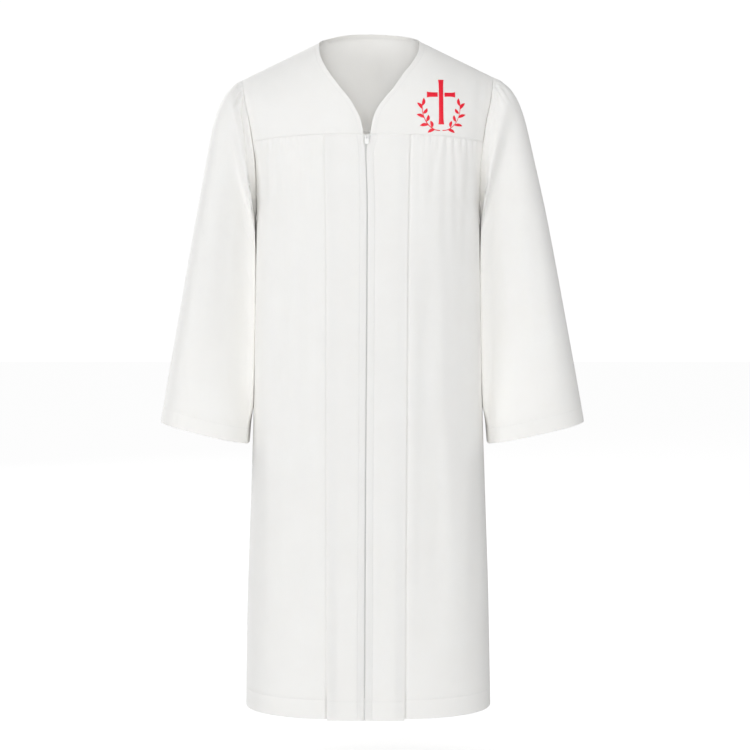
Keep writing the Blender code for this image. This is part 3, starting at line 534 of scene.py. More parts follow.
def finish_mesh(name, points, faces, look, uv=None, sharp=50):
    """Makes a mesh object in metres from settled points in millimetres."""
    mesh = bpy.data.meshes.new(name)
    mesh.from_pydata((np.asarray(points) * MM).tolist(), [], faces)
    if uv is not None:
        layer = mesh.uv_layers.new(name="cloth")
        corners = np.empty(len(mesh.loops), int)
        mesh.loops.foreach_get("vertex_index", corners)
        layer.data.foreach_set("uv", (uv[corners] * MM).ravel())
    mesh.materials.append(look)
    mesh.shade_smooth()
    mesh.set_sharp_from_angle(angle=math.radians(sharp))
    mesh.update()
    piece = bpy.data.objects.new(name, mesh)
    bpy.context.scene.collection.objects.link(piece)
    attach(piece, "robe")
    return piece


surfaces = {}


def shell(node, base, fold, walls, look, flip=False, loop=False, ridge_columns=()):
    """A thin cloth wall on a node's form, which it stands for. Keeps its outer face for the stitching."""
    if flip:
        base, fold = base[:, ::-1], fold[:, ::-1]
    square = normals(base, loop)
    tilt = math.atan(RIDGE_SLOPE)
    for column in ridge_columns:
        side = math.copysign(1, base[0, column, 0])
        square[0, column] = (side * math.sin(tilt), 0, math.cos(tilt))
    outer = base + square * fold[..., None]
    inner = outer - square * np.broadcast_to(walls, len(base))[:, None, None]
    surfaces[node] = (outer, square)
    index = np.arange(fold.size).reshape(fold.shape)
    if loop:
        index = np.concatenate([index, index[:, :1]], axis=1)
    a, b = index[:-1, :-1].ravel(), index[:-1, 1:].ravel()
    d, c = index[1:, :-1].ravel(), index[1:, 1:].ravel()
    faces = [np.stack([a, d, c, b], 1), np.stack([a, b, c, d], 1) + fold.size]
    rims = [(index[0, 1:], index[0, :-1]), (index[-1, :-1], index[-1, 1:])]
    if not loop:
        rims += [(index[:-1, 0], index[1:, 0]), (index[1:, -1], index[:-1, -1])]
    for first, second in rims:
        faces.append(np.stack([first, second, second + fold.size, first + fold.size], 1))
    u = lengths(outer, 1)
    uv = np.stack([u - u[:, -1:] / 2, lengths(outer)], axis=-1).reshape(-1, 2)
    points = settle(np.concatenate([outer.reshape(-1, 3), inner.reshape(-1, 3)]))
    faces = np.concatenate(faces).tolist()
    piece = finish_mesh("cloth_" + node, points, faces, look, np.concatenate([uv, uv]))
    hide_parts(node)
    return piece


# Materials

WHITE = (0.93, 0.919, 0.888)
SHADE_WHITE = (0.905, 0.893, 0.862)
TAPE_WHITE = (0.80, 0.80, 0.785)
TAPE_SHADE = (0.76, 0.76, 0.745)
SEWING_WHITE = (0.86, 0.855, 0.84)
SEWING_SHADE = (0.80, 0.795, 0.78)
ENAMEL_WHITE = (0.66, 0.66, 0.65)
TEETH_WHITE = (0.78, 0.78, 0.77)
HARD_SHADE = (0.70, 0.70, 0.69)
THREAD_RED = (0.92, 0.006, 0.034)
THREAD_RED_DARK = (0.78, 0.003, 0.022)
ROBE_PITCH = 0.00045
TAPE_PITCH = 0.0007
THIN_CLOTH = 0.8
SUBSURFACE_REACH = 0.0018
RELIEF_HEIGHT = 0.0001
SLUB_STRETCH = (900, 60, 1)
SLUB_RELIEF = 0.8
SLUB_SHARE = 0.3
STREAKS = 900.0
CLOUDS = 14.0


def fill(tree, node, **values):
    """Sets fields of a shader node and its sockets, or feeds them. term_0 is the first socket, and so on."""
    for key, value in values.items():
        if hasattr(node, key):
            setattr(node, key, value)
            continue
        socket = node.inputs[int(key[-1]) if key.startswith("term_") else key.replace("_", " ")]
        if isinstance(value, bpy.types.NodeSocket):
            tree.links.new(value, socket)
        else:
            socket.default_value = value


def add(tree, kind, **values):
    node = tree.nodes.new(kind)
    fill(tree, node, **values)
    return node


def maths(tree, operation, *terms):
    node = add(tree, "ShaderNodeMath", operation=operation)
    fill(tree, node, **{f"term_{i}": term for i, term in enumerate(terms)})
    return node.outputs[0]


def material(name, **values):
    """A new material, its node tree and its shader with the sockets given."""
    made = bpy.data.materials.new(name)
    made.use_nodes = True
    shader = made.node_tree.nodes["Principled BSDF"]
    fill(made.node_tree, shader, **values)
    return made, made.node_tree, shader


def vary(tree, shader, tone, light, dark, edge, gloss, rough_min, rough_max):
    """Lets one pattern drive the colour, and another the roughness."""
    ramp = add(tree, "ShaderNodeValToRGB", Fac=tone)
    for element, position, colour in zip(ramp.color_ramp.elements, (edge, 1 - edge), (dark, light)):
        element.position = position
        element.color = (*colour, 1)
    matte = add(tree, "ShaderNodeMapRange", Value=gloss, To_Min=rough_min, To_Max=rough_max)
    fill(tree, shader, Base_Color=ramp.outputs["Color"], Roughness=matte.outputs["Result"])


def raise_relief(tree, shader, height, strength):
    bump = add(tree, "ShaderNodeBump", Strength=strength, Distance=RELIEF_HEIGHT, Height=height)
    fill(tree, shader, Normal=bump.outputs["Normal"])


def woven(name, light, dark, pitch, relief, rough, sheen, thin=THIN_CLOTH):
    """A plain weave that follows the cloth's own grain, with slubs and a faint unevenness of colour."""
    made, tree, shader = material(
        name, Sheen_Weight=sheen, Sheen_Roughness=0.5, Specular_IOR_Level=0.25, Subsurface_Weight=thin,
        Subsurface_Radius=(1.0, 0.98, 0.95), Subsurface_Scale=SUBSURFACE_REACH)
    grain = add(tree, "ShaderNodeUVMap", uv_map="cloth").outputs["UV"]
    place = add(tree, "ShaderNodeTexCoord").outputs["Object"]
    scale = 2 * math.pi / (20 * pitch)
    warp = add(tree, "ShaderNodeTexWave", bands_direction="X", Scale=scale, Vector=grain).outputs["Fac"]
    weft = add(tree, "ShaderNodeTexWave", bands_direction="Y", Scale=scale, Vector=grain).outputs["Fac"]
    stretch = add(tree, "ShaderNodeMapping", Scale=SLUB_STRETCH, Vector=grain).outputs["Vector"]
    slub = add(tree, "ShaderNodeTexNoise", Scale=1.0, Detail=2.0, Vector=stretch).outputs["Fac"]
    cloud = add(tree, "ShaderNodeTexNoise", Scale=CLOUDS, Detail=3.0, Vector=place).outputs["Fac"]
    weave = maths(tree, "ADD", warp, weft)
    raise_relief(tree, shader, maths(tree, "MULTIPLY_ADD", slub, SLUB_RELIEF, weave), relief)
    shade = maths(tree, "MULTIPLY", cloud, 1 - SLUB_SHARE)
    tone = maths(tree, "MULTIPLY_ADD", slub, SLUB_SHARE, shade)
    vary(tree, shader, tone, light, dark, 0.3, cloud, rough - 0.05, rough + 0.08)
    return made


def spun(name, light, dark, rough, gloss, coil):
    """Thread, or enamel when coil is 0: colour with fine streaks and a little unevenness of gloss."""
    made, tree, shader = material(name, Specular_IOR_Level=gloss)
    place = add(tree, "ShaderNodeTexCoord").outputs["Object"]
    streak = add(tree, "ShaderNodeTexNoise", Scale=STREAKS, Detail=2.0, Vector=place).outputs["Fac"]
    vary(tree, shader, streak, light, dark, 0.35, streak, rough - 0.06, rough + 0.06)
    if coil:
        raise_relief(tree, shader, streak, coil)
    return made


robe_cloth = woven("robe_cloth", WHITE, SHADE_WHITE, ROBE_PITCH, 0.25, 0.78, 0.12)
facing_cloth = woven("facing_cloth", WHITE, SHADE_WHITE, ROBE_PITCH, 0.25, 0.78, 0.12, thin=0.0)
tape_cloth = woven("tape_cloth", TAPE_WHITE, TAPE_SHADE, TAPE_PITCH, 0.4, 0.8, 0.1)
sewing_thread = spun("sewing_thread", SEWING_WHITE, SEWING_SHADE, 0.6, 0.3, 0.3)
emblem_thread = spun("emblem_thread", THREAD_RED, THREAD_RED_DARK, 0.42, 0.4, 0.2)
enamel = spun("enamel", ENAMEL_WHITE, HARD_SHADE, 0.32, 0.5, 0)
zip_teeth = spun("zip_teeth", TEETH_WHITE, HARD_SHADE, 0.4, 0.5, 0)


# Cloth pieces

GATHER_DEPTH = {LEFT: 0.66, RIGHT: 0.46}
GATHER_LENGTH = {LEFT: 0.62, RIGHT: 0.55}
GATHER_REACH = 16
# Stitch lines lie in shallow grooves and pucker the cloth, and turned edges are round
GROOVE_HALF = 1.3
PLACKET_GROOVE = 0.28
NECK_GROOVE = 0.25
HEM_GROOVE = 0.3
HEM_GROOVE_HALF = 1.1
PUCKER = 0.1
PLACKET_PUCKER = 0.07
CUFF_PUCKER = 0.09
CUFF_PUCKERS = 58
EDGE_TURN = 0.35
NECK_TURN_IN = 0.3
EDGE_REACH = 0.9

# Gathers at the sleeve's cap and slow waves round the sleeve, and where down it they end or start
CAP_RIPPLES = 46
CAP_RIPPLE = 0.35
CAP_RIPPLE_END = (8, 34)
SLEEVE_WAVE = 0.3
SLEEVE_WAVE_START = (40, 300)

# Row heights of the panels: below the yoke seam, down the panel and over the hem
DROPS = spread(0, (1.2, 2), (4, 3), (16, 6), (48, 10), (104, 10))
HEIGHTS = spread(-288, (-1128, 62))[1:]
HEM_ROWS = spread(-1128, (STITCH_LINE + 1, 3), (STITCH_LINE - 1, 4), (-LENGTH + 1.2, 7), (-LENGTH, 2))[1:]


def gathers_at(gathers, across, drop, side):
    """How far the gathers go in: soft valleys that meet half way, each with a sharper line in its middle."""
    places = [gather.across for gather in gathers]
    places = [places[0] - GATHER_EDGE] + places + [places[-1] + GATHER_EDGE]
    height = np.zeros(drop.shape)
    for i, here in enumerate(gathers):
        step = across - here.across
        spacing = np.where(step < 0, here.across - places[i], places[i + 2] - here.across)
        depth = here.depth * GATHER_DEPTH[side]
        length = here.length * GATHER_LENGTH[side]
        fade = (1 - blend(0.15 * length, length, drop)) * blend(0.0, 5.0, drop) * (np.abs(step) < spacing / 2)
        valley = 0.35 * (1 + np.cos(2 * math.pi * step / spacing)) * fade
        lean = step - 0.02 * depth * drop * (1 if i % 2 else -1)
        sharp = 0.9 * bell(lean, 1.5) * (1 - blend(0.1 * length, 0.6 * length, drop))
        near = step - 0.5 * spacing * 0.55
        short = 0.3 * bell(near, 1.3) * (1 - blend(0.1 * length, 0.4 * length, drop))
        height -= depth * (valley + (sharp + short) * blend(0.0, 2.5, drop)) * (np.abs(step) <= GATHER_REACH)
    return height


def at_hem(z):
    """0 above the hem's stitch line and 1 below it."""
    return blend(STITCH_LINE + 0.8, STITCH_LINE, z)


def panel_heights(corner):
    """Row heights at the side seam, and the wall at each."""
    heights = np.array([corner - drop for drop in DROPS] + HEIGHTS + HEM_ROWS)
    return heights, CLOTH_WALL + (CLOTH_HEM - CLOTH_WALL) * at_hem(heights)


def hem_detail(base, line):
    """The hem's stitch line sits in a small trough, and the cloth puckers beside it."""
    x = base[..., 0]
    away = base[..., 2] - line
    pucker = np.sin(x / 2.3 + 1.3 * np.sin(x / 11)) * bell(away, 7.0)
    return PUCKER * pucker - HEM_GROOVE * bell(away, HEM_GROOVE_HALF)


def panel_base(face, heights, corner, count, run_to):
    """Points of a panel, all with x above 0. run_to says how far along the body's ring a column lies."""
    base = np.empty((len(heights), count, 3))
    for i, height in enumerate(heights):
        share = (corner - height) / (corner + LENGTH)
        z = height
        for k in range(count):
            for _ in range(3):
                x, y, run = ring(z, face)
                end = run[-1]
                if height > UNDERARM:
                    end = np.interp(-armhole_share[face](height), -np.abs(y) / depth_of[face](z), run)
                at = run_to(k, x, run, end - JOIN / 2, z)
                place = np.interp(at, run, x)
                top = seam_height(place, face) - JOIN / 2
                z = top + (-LENGTH - top) * share
            base[i, k] = (place, np.interp(at, run, y), z)
    return base


def front_panel(side):
    corner = seam_height(YOKE_HALF, FRONT)
    heights, walls = panel_heights(corner)
    near = spread(0, (10, 2), (TUCK - 2, 3), (TUCK + 4, 7), (TUCK + 10, 3))
    far = spread(0, (0.04, 3), (1, 72))[1:]

    def run_to(k, x, run, end, z):
        start = np.interp(side * strip_outer[side](z) - TUCK, x, run)
        if k < len(near):
            return start + near[k]
        edge = start + near[-1]
        return edge + (end - edge) * far[k - len(near)]

    base = panel_base(FRONT, heights, corner, len(near) + len(far), run_to)
    gathers = GATHERS_LEFT if side == LEFT else GATHERS_RIGHT
    troughs = TROUGHS_LEFT if side == LEFT else TROUGHS_RIGHT
    under = WALL + SEAM_GAP
    dip = 2.5 if side == LEFT else under
    drops = base[0, :, 2] - base[..., 2]
    beside = lengths(base, 1) - TUCK
    fold = gathers_at(gathers, base[0, :, 0], drops, side) * blend(4, 12, beside)
    fold += trough_height(troughs, base[..., 0], base[..., 2])
    room = under - PLACKET_LIFT + (HEM_WALL - WALL) * blend(STITCH_LINE + 20, STITCH_LINE + 2, heights)
    fold -= room[:, None] * (1 - blend(0.8, 4.2, beside))
    fold -= (dip - under) * bell(beside - 1, 3.5) * blend(0, 20, drops)
    base[..., 0] *= side
    free = blend(8, 26, beside) * blend(2, 30, drops)
    fold += (creases_at(base, PANEL_CREASES[side]) + drift(base, side * 1.3, 0.35)) * free
    fold += roll(drops) + hem_detail(base, STITCH_LINE)
    return shell("front_panel_" + HAND[side], base, fold, walls, robe_cloth, flip=side == RIGHT)


def back_panel():
    corner = seam_height(YOKE_HALF, BACK)
    heights, walls = panel_heights(corner)
    shares = np.linspace(1, -1, 201)
    base = panel_base(BACK, heights, corner, len(shares), lambda k, x, run, end, z: end * abs(shares[k]))
    base[..., 0] *= np.sign(shares)
    drops = base[0, :, 2] - base[..., 2]
    fold = trough_height(TROUGHS_BACK, base[..., 0], base[..., 2])
    fold += gathers_at(GATHERS_BACK, base[0, :, 0], drops, LEFT)
    fold += (creases_at(base, BACK_CREASES) + drift(base, 0.7, 0.4)) * blend(2, 30, drops)
    fold += roll(drops) + hem_detail(base, STITCH_LINE)
    return shell("back_panel", base, fold, walls, robe_cloth)


def strip_heights():
    """Row heights of the placket strips, level with the front panel beside them."""
    heights, walls = panel_heights(seam_height(YOKE_HALF, FRONT))
    top = ZIP_TOP - JOIN / 2
    bottom = -LENGTH - PLACKET_DROP
    return top + (bottom - top) * (heights[0] - heights) / (heights[0] - heights[-1]), walls


def placket(side):
    heights, walls = strip_heights()
    seam_at = TOPSTITCH[side]
    rows = []
    for z in heights:
        near_edge = strip_inner[side](z)
        width = abs(strip_outer[side](z) - near_edge)
        places = spread(0, (1.5, 2), (seam_at - 2, 4), (seam_at + 2, 6), (width - 3, 10), (width, 4))
        rows.append([(x, torso_depth(x, z, FRONT), z) for x in near_edge + side * np.array(places)])
    base = np.array(rows)
    base[0, :, 2] += [seam_height(x, FRONT) - ZIP_TOP for x in base[0, :, 0]]
    z = base[..., 2]
    places = np.abs(base[..., 0] - base[:, :1, 0])
    width = places[:, -1:]
    fold = PLACKET_LIFT - EDGE_TURN * (bell(places, EDGE_REACH) + bell(width - places, EDGE_REACH))
    fold -= PLACKET_GROOVE * bell(places - seam_at, GROOVE_HALF)
    fold += PLACKET_PUCKER * np.sin(z / 2.1 + 1.6 * np.sin(z / 13)) * bell(places - seam_at, 6)
    fold += 0.25 * (np.sin(z / 61 + side) + np.sin(z / 27 + 2 * side)) * np.sin(math.pi * places / width) ** 2
    fold += roll(ZIP_TOP - z) + hem_detail(base, STITCH_LINE - PLACKET_DROP / 2)
    return shell("placket_" + HAND[side], base, fold, walls, robe_cloth, flip=side == RIGHT)


def zip_middle(z):
    return (strip_inner[LEFT](z) + strip_inner[RIGHT](z)) / 2


def zip_tape(side):
    heights, _ = strip_heights()
    places = side * np.array([COIL_GAP / 2, 1.2, 2.4, 4.5, 7.5, 11, TAPE_REACH])
    base = np.array([[(x, torso_depth(x, z, FRONT), z) for x in zip_middle(z) + places] for z in heights])
    behind = WALL + (HEM_WALL - WALL) * at_hem(heights) + SEAM_GAP
    fold = np.repeat(PLACKET_LIFT - behind[:, None], len(places), axis=1)
    return shell("zip_tape_" + HAND[side], base, fold, TAPE_THICK, tape_cloth, flip=side == RIGHT)


def front_yoke(side):
    downs = spread(0, (0.004, 1), (0.05, 5), (0.3, 14), (0.9, 26), (0.975, 6), (1, 6))
    shares = spread(0, (0.03, 3), (0.2, 14), (0.9, 36), (0.985, 7), (1, 3))
    neck = NECK_SIDE[side]
    corner = armhole_at(seam_height(YOKE_HALF, FRONT), FRONT)
    end = shoulder_end()
    low_edge = side * neck_edge[side](ZIP_TOP)
    base = np.empty((len(downs), len(shares), 3))
    for i, down in enumerate(downs):
        neck_z = ridge_height(neck) + (ZIP_TOP - ridge_height(neck)) * down
        neck_x = side * neck_edge[side](neck_z) if down > 0 else neck
        arm_x = armhole_at(end[2] + (corner[2] - end[2]) * down, FRONT)[0] if down > 0 else end[0]
        for k, share in enumerate(shares):
            top_z = ridge_height(neck + (end[0] - neck) * share)
            low_z = seam_height(low_edge + (corner[0] - low_edge) * share, FRONT)
            x = neck_x + (arm_x - neck_x) * share
            z = min(top_z + (low_z - top_z) * down, ridge_height(x))
            base[i, k] = (side * x, torso_depth(x, z, FRONT), z)
    base[0, :, 1] -= JOIN / 2
    base[-1, :, 2] += JOIN / 2
    to_seam = base[..., 2] - base[-1:, :, 2]
    from_neck = lengths(base, 1)
    down_run = lengths(base)
    free = blend(0, 20, to_seam) * blend(0, 20, down_run) * blend(0, 14, from_neck)
    fold = (creases_at(base, YOKE_CREASES[FRONT]) + drift(base, 2.2 * side, 0.18)) * free
    fold += roll(to_seam) + 0.5 * roll(from_neck[:, -1:] - from_neck) + 0.6 * roll(down_run)
    fold -= NECK_TURN_IN * bell(from_neck, EDGE_REACH)
    fold -= NECK_GROOVE * bell(from_neck - TOPSTITCH[side] + NECK_STITCH_IN, GROOVE_HALF)
    return shell("yoke_front_" + HAND[side], base, fold, CLOTH_WALL, robe_cloth, flip=side == RIGHT,
                 ridge_columns=range(len(shares)))


def back_yoke():
    downs = spread(0, (0.004, 1), (0.05, 5), (0.3, 12), (0.9, 22), (0.975, 5), (1, 6))
    half = spread(0, (NECK_TURN, 44), (0.96, 44), (0.995, 6), (1, 1))
    turns = np.array([-t for t in half[:0:-1]] + half)[::-1]
    ridge = np.nonzero(np.abs(turns) > NECK_TURN - 0.005)[0]
    base = np.array([[back_yoke_point(turn, down) for turn in turns] for down in downs])
    base[:, :, 0] -= JOIN / 2 * turns * (np.abs(turns) == 1)
    base[-1, :, 2] += JOIN / 2
    base[0, ridge, 1] += JOIN / 2
    to_seam = base[..., 2] - base[-1:, :, 2]
    run = lengths(base, 1)
    to_arm = np.minimum(run, run[:, -1:] - run)
    down_run = lengths(base)
    free = blend(0, 20, to_seam) * blend(0, 25, down_run) * blend(0, 14, to_arm)
    smooth = soften(base.transpose(1, 0, 2), 4, len(turns) - 4, 9).transpose(1, 0, 2)
    base += (smooth - base) * (blend(0, 40, down_run) * blend(0, 14, to_seam))[..., None]
    fold = (creases_at(base, YOKE_CREASES[BACK]) + drift(base, 1.1, 0.2)) * free
    fold += roll(to_seam) + 0.5 * roll(to_arm) + 0.6 * roll(down_run)
    fold -= 0.22 * bell(down_run - FACING_WIDTH + 0.6, 1.2) * (np.abs(turns) < NECK_TURN)
    return shell("yoke_back", base, fold, CLOTH_WALL, robe_cloth, ridge_columns=ridge)


def neck_facing():
    turns = np.linspace(FACING_TURN, -FACING_TURN, 61)
    falls = [back_yoke_point(turn, 0)[2] - back_yoke_point(turn, 1)[2] for turn in turns]
    drops = spread(0.4, (1.4, 2), (FACING_WIDTH - 1, 4), (FACING_WIDTH, 2))
    rows = [[back_yoke_point(turn, drop / fall) for turn, fall in zip(turns, falls)] for drop in drops]
    base = np.array(rows)
    fold = np.full(base.shape[:2], -CLOTH_WALL - FACING_BEHIND)
    return shell("neck_facing", base, fold, FACING_THICK, facing_cloth)


def soften(base, first, last, reach):
    """Rounds off what changes sharply down the rows, between two rows."""
    kernel = bell(np.arange(-2 * reach, 2 * reach + 1), reach)
    kernel /= kernel.sum()
    soft = base.copy()
    for i in range(first, last):
        near = np.clip(np.arange(i - 2 * reach, i + 2 * reach + 1), 0, len(base) - 1)
        share = blend(first, first + 12, i) * (1 - blend(last - 12, last, i))
        soft[i] += (np.tensordot(kernel, base[near], 1) - base[i]) * share
    return soft


def side_fold(base, half):
    """How strongly the cloth stands forward where the sleeve's front turns back beside the body, 0 to 1."""
    forward = np.zeros(base.shape[:2])
    for i, points in enumerate(base):
        outward = points[:half, 0]
        ahead = np.nonzero(points[:half, 1] < 0)[0]
        if len(ahead) == 0:
            continue
        nearest = ahead[np.argmin(outward[ahead])]
        beyond = ahead[outward[ahead] > outward[nearest] + TURN_BACK]
        turn = points[beyond[np.argmin(np.abs(beyond - nearest))]]
        size = blend(*SIDE_FOLD_TOP, turn[2]) * (1 - 0.3 * blend(*SIDE_FOLD_LOW, turn[2]))
        forward[i] = size * bell(np.linalg.norm((points - turn)[:, :2], axis=1), SIDE_FOLD_REACH)
    return forward


def sleeve(side):
    stations = np.array(spread(0, (0.1, 3), (2.2, 34), (10, 74), (10.08, 3), (10.95, 6), (11, 2)))
    shares = np.linspace(0, 1, 129)
    half = len(shares)
    holes = {face: armhole_line(face, half) for face in (FRONT, BACK)}
    base = np.array([sleeve_ring(side, station, holes, shares) for station in stations])
    base[..., 0] -= ((SLEEVE_SEAM_GAP - JOIN) * (1 - blend(0, 0.6, stations)))[:, None]
    base = soften(base, 8, 96, 6)
    stand = side_fold(base, half)
    base[..., 1] -= SIDE_FOLD * stand
    body = np.array([[half_width(points[:, 2].mean())] for points in base])
    lean = SIDE_LEAN * stand * (1 - blend(*SIDE_LEAN_LOW, base[..., 2]))
    base[..., 0] -= np.minimum(lean, np.maximum(base[..., 0] - body - SIDE_GAP, 0))
    fold = 0.8 * sleeve_folds(side, stations, shares)
    front = np.arange(base.shape[1]) < half
    shown = base * np.array([side, 1, 1])
    down_run = lengths(base)
    free = blend(0, 3, down_run)
    fold += creases_at(shown, SLEEVE_CREASES[side, FRONT]) * front * free
    fold += creases_at(shown, SLEEVE_CREASES[side, BACK]) * ~front * free
    turn = np.arange(base.shape[1]) / base.shape[1] * 2 * math.pi
    cap = bell((turn + math.pi) % (2 * math.pi) - math.pi, 0.9)
    ripple = np.sin(CAP_RIPPLES * turn + 2 * np.sin(3 * turn)) * cap
    fold += CAP_RIPPLE * ripple * free * (1 - blend(*CAP_RIPPLE_END, down_run))
    around = np.sin(turn * 3 + side) + 0.6 * np.sin(turn * 7 + 2)
    fold += SLEEVE_WAVE * around * blend(*SLEEVE_WAVE_START, down_run) + drift(shown, 3.1 * side, 0.15) * free
    away = down_run[-1:] - down_run - SLEEVE_HEM
    fold += 0.5 * roll(down_run) - HEM_GROOVE * bell(away, HEM_GROOVE_HALF)
    fold += CUFF_PUCKER * np.sin(CUFF_PUCKERS * turn) * bell(away, 6)
    walls = CLOTH_WALL + (CLOTH_HEM - CLOTH_WALL) * (stations > 10.01)
    return shell("sleeve_" + HAND[side], shown, fold, walls, robe_cloth, flip=side == LEFT, loop=True)


for side, hand in HAND.items():
    front_yoke(side)
    front_panel(side)
    placket(side)
    zip_tape(side)
    sleeve(side)
back_yoke()
back_panel()
neck_facing()


# Stitching

STITCH_PITCH = 3.3
STITCH_LONG = 2.6
STITCH_THICK = 0.24
STITCH_LIFT = 0.05
STITCH_TURNS = [2 * math.pi * k / 6 for k in range(6)]
# Rings of a stitch: place along it and thickness, both as shares, and the lift
STITCH_RINGS = [(-0.5, 0.35, -0.30), (-0.3, 0.95, 0.05), (0, 1, 0.16), (0.3, 0.95, 0.05), (0.5, 0.35, -0.30)]


def tube(points, faces, rings, flip=False):
    """Adds a closed tube to the points and faces of a mesh."""
    sides = len(rings[0])
    first = len(points)
    points += [point for around in rings for point in around]
    for start in range(first, len(points) - sides, sides):
        for k in range(sides):
            a, b = start + k, start + (k + 1) % sides
            faces.append((a, a + sides, b + sides, b) if flip else (a, b, b + sides, a + sides))
    cap = tuple(range(first, first + sides))
    end = tuple(range(len(points) - sides, len(points)))
    faces += [cap, end[::-1]] if flip else [cap[::-1], end]


def stitches(name, lines):
    """Small arched stitches along lines of points that lie on the cloth. Each is (points, directions out)."""
    points, faces = [], []
    for line, outward in lines:
        run = lengths(line)
        for at in np.arange(STITCH_PITCH / 2, run[-1] - STITCH_PITCH / 2, STITCH_PITCH):
            middle = along(line, run, at)
            way = along(line, run, at + 1) - along(line, run, at - 1)
            way /= np.linalg.norm(way)
            across = np.cross(way, along(outward, run, at))
            across /= np.linalg.norm(across)
            out = np.cross(across, way)
            rings = []
            for share, thick, lift in STITCH_RINGS:
                centre = middle + way * share * STITCH_LONG + out * lift
                reach = STITCH_THICK * thick
                rings.append([centre + reach * (across * math.cos(turn) + out * math.sin(turn))
                              for turn in STITCH_TURNS])
            tube(points, faces, rings)
    finish_mesh(name, settle(np.array(points)), faces, sewing_thread, sharp=80)


def row_line(node, row, columns=slice(None)):
    """The line along one row of a shell's outer face."""
    outer, square = surfaces[node]
    return outer[row, columns] + square[row, columns] * STITCH_LIFT, square[row, columns]


def hem_line(node, line):
    return row_line(node, int(np.argmin(np.abs(surfaces[node][0][:, 0, 2] - line))))


def line_down(node, rows, pick):
    """A line down a shell's outer face. pick gives a measure across a row, and where the line lies in it."""
    outer, square = surfaces[node]
    points, out = [], []
    for row, ways in zip(outer[rows], square[rows]):
        measure, at = pick(row)
        order = np.argsort(measure)
        points.append(along(row[order], measure[order], at))
        out.append(along(ways[order], measure[order], at))
    out = np.array(out)
    return np.array(points) + out * STITCH_LIFT, out


hem_lines = [hem_line(node, STITCH_LINE) for node in ("front_panel_left", "front_panel_right", "back_panel")]
strip_line = STITCH_LINE - PLACKET_DROP * 0.97
hem_lines += [hem_line(node, strip_line) for node in ("placket_left", "placket_right")]
stitches("stitching_hem", hem_lines)
for side in (LEFT, RIGHT):
    heights = surfaces["placket_" + HAND[side]][0][..., 2].mean(axis=1)
    stitched = (heights > -LENGTH + 1) & (heights < ZIP_TOP - 1)
    down = line_down("placket_" + HAND[side], stitched, lambda row: (
        row[:, 0], strip_inner[side](row[:, 2].mean()) + side * TOPSTITCH[side]))
    neck = line_down("yoke_front_" + HAND[side], slice(2, -1), lambda row: (
        lengths(row[::side])[::side], TOPSTITCH[side] - NECK_STITCH_IN))
    stitches("stitching_front_" + HAND[side], [down, neck])
    outer, square = surfaces["sleeve_" + HAND[side]]
    around = np.append(np.arange(outer.shape[1]), 0)
    stitches("stitching_cuff_" + HAND[side], [(outer[CUFF_ROW, around], square[CUFF_ROW, around])])
neck_run = lengths(surfaces["yoke_back"][0][:, 95])
neck_row = int(np.argmin(np.abs(neck_run[1:] - FACING_WIDTH + 1.2))) + 1
stitches("stitching_neck", [row_line("yoke_back", neck_row, slice(60, -60))])
outer, square = surfaces["neck_facing"]
stitches("stitching_neck_inside", [(outer[-3] - square[-3] * (FACING_THICK + STITCH_LIFT), -square[-3])])


# Zip teeth, slider and pull tab

TOOTH_PITCH = 1.5
TOOTH_LONG = 0.78
TOOTH_IN = 0.42
TOOTH_OUT = 0.36
# Rings of a tooth: place along it as a share, half its depth and half its height
TOOTH_RINGS = [(-0.5, 0.2394, 0.3), (-0.32, 0.399, 0.5), (0.32, 0.399, 0.5), (0.5, 0.2394, 0.3)]
TOOTH_TURNS = [2 * math.pi * k / 8 for k in range(8)]
TEETH_TOP = -179.0
TEETH_BOTTOM = -1139.0


def teeth():
    """Two rows of small rounded teeth in the slit, each fitting between two of the other row."""
    points, faces = [], []
    for side in (LEFT, RIGHT):
        start = TEETH_TOP - (TOOTH_PITCH / 2 if side == RIGHT else 0)
        for z in np.arange(start, TEETH_BOTTOM, -TOOTH_PITCH):
            middle = zip_middle(z)
            y = torso_depth(middle, z, FRONT) - PLACKET_LIFT + WALL + SEAM_GAP - TOOTH_IN
            rings = []
            for share, deep, tall in TOOTH_RINGS:
                x = middle + side * (TOOTH_OUT + share * TOOTH_LONG)
                rings.append([(x, y + deep * math.cos(turn), z + tall * math.sin(turn))
                              for turn in TOOTH_TURNS])
            tube(points, faces, rings, flip=side == RIGHT)
    finish_mesh("zip_teeth", settle(np.array(points)), faces, zip_teeth, sharp=60)


def rounded(node, name, body, width):
    """A copy of a hard node with rounded edges, which stands for it."""
    piece = bpy.data.objects.new(name, bpy.data.objects[node].data.copy())
    bpy.context.scene.collection.objects.link(piece)
    bevel = piece.modifiers.new("bevel", "BEVEL")
    bevel.width = width
    bevel.segments = 3
    bevel.limit_method = "ANGLE"
    bevel.angle_limit = math.radians(40)
    mesh = bpy.data.meshes.new_from_object(piece.evaluated_get(bpy.context.evaluated_depsgraph_get()))
    piece.modifiers.clear()
    piece.data = mesh
    mesh.materials.clear()
    mesh.materials.append(enamel)
    mesh.shade_smooth()
    mesh.set_sharp_from_angle(angle=math.radians(35))
    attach(piece, body)
    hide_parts(node)


teeth()
rounded("zip_slider", "slider_enamelled", "robe", 0.00035)
rounded("zip_pull", "pull_enamelled", "zip_pull", 0.00028)


# The emblem: a plain cross between two leafy sprigs, in satin stitch on the wearer's left of the yoke

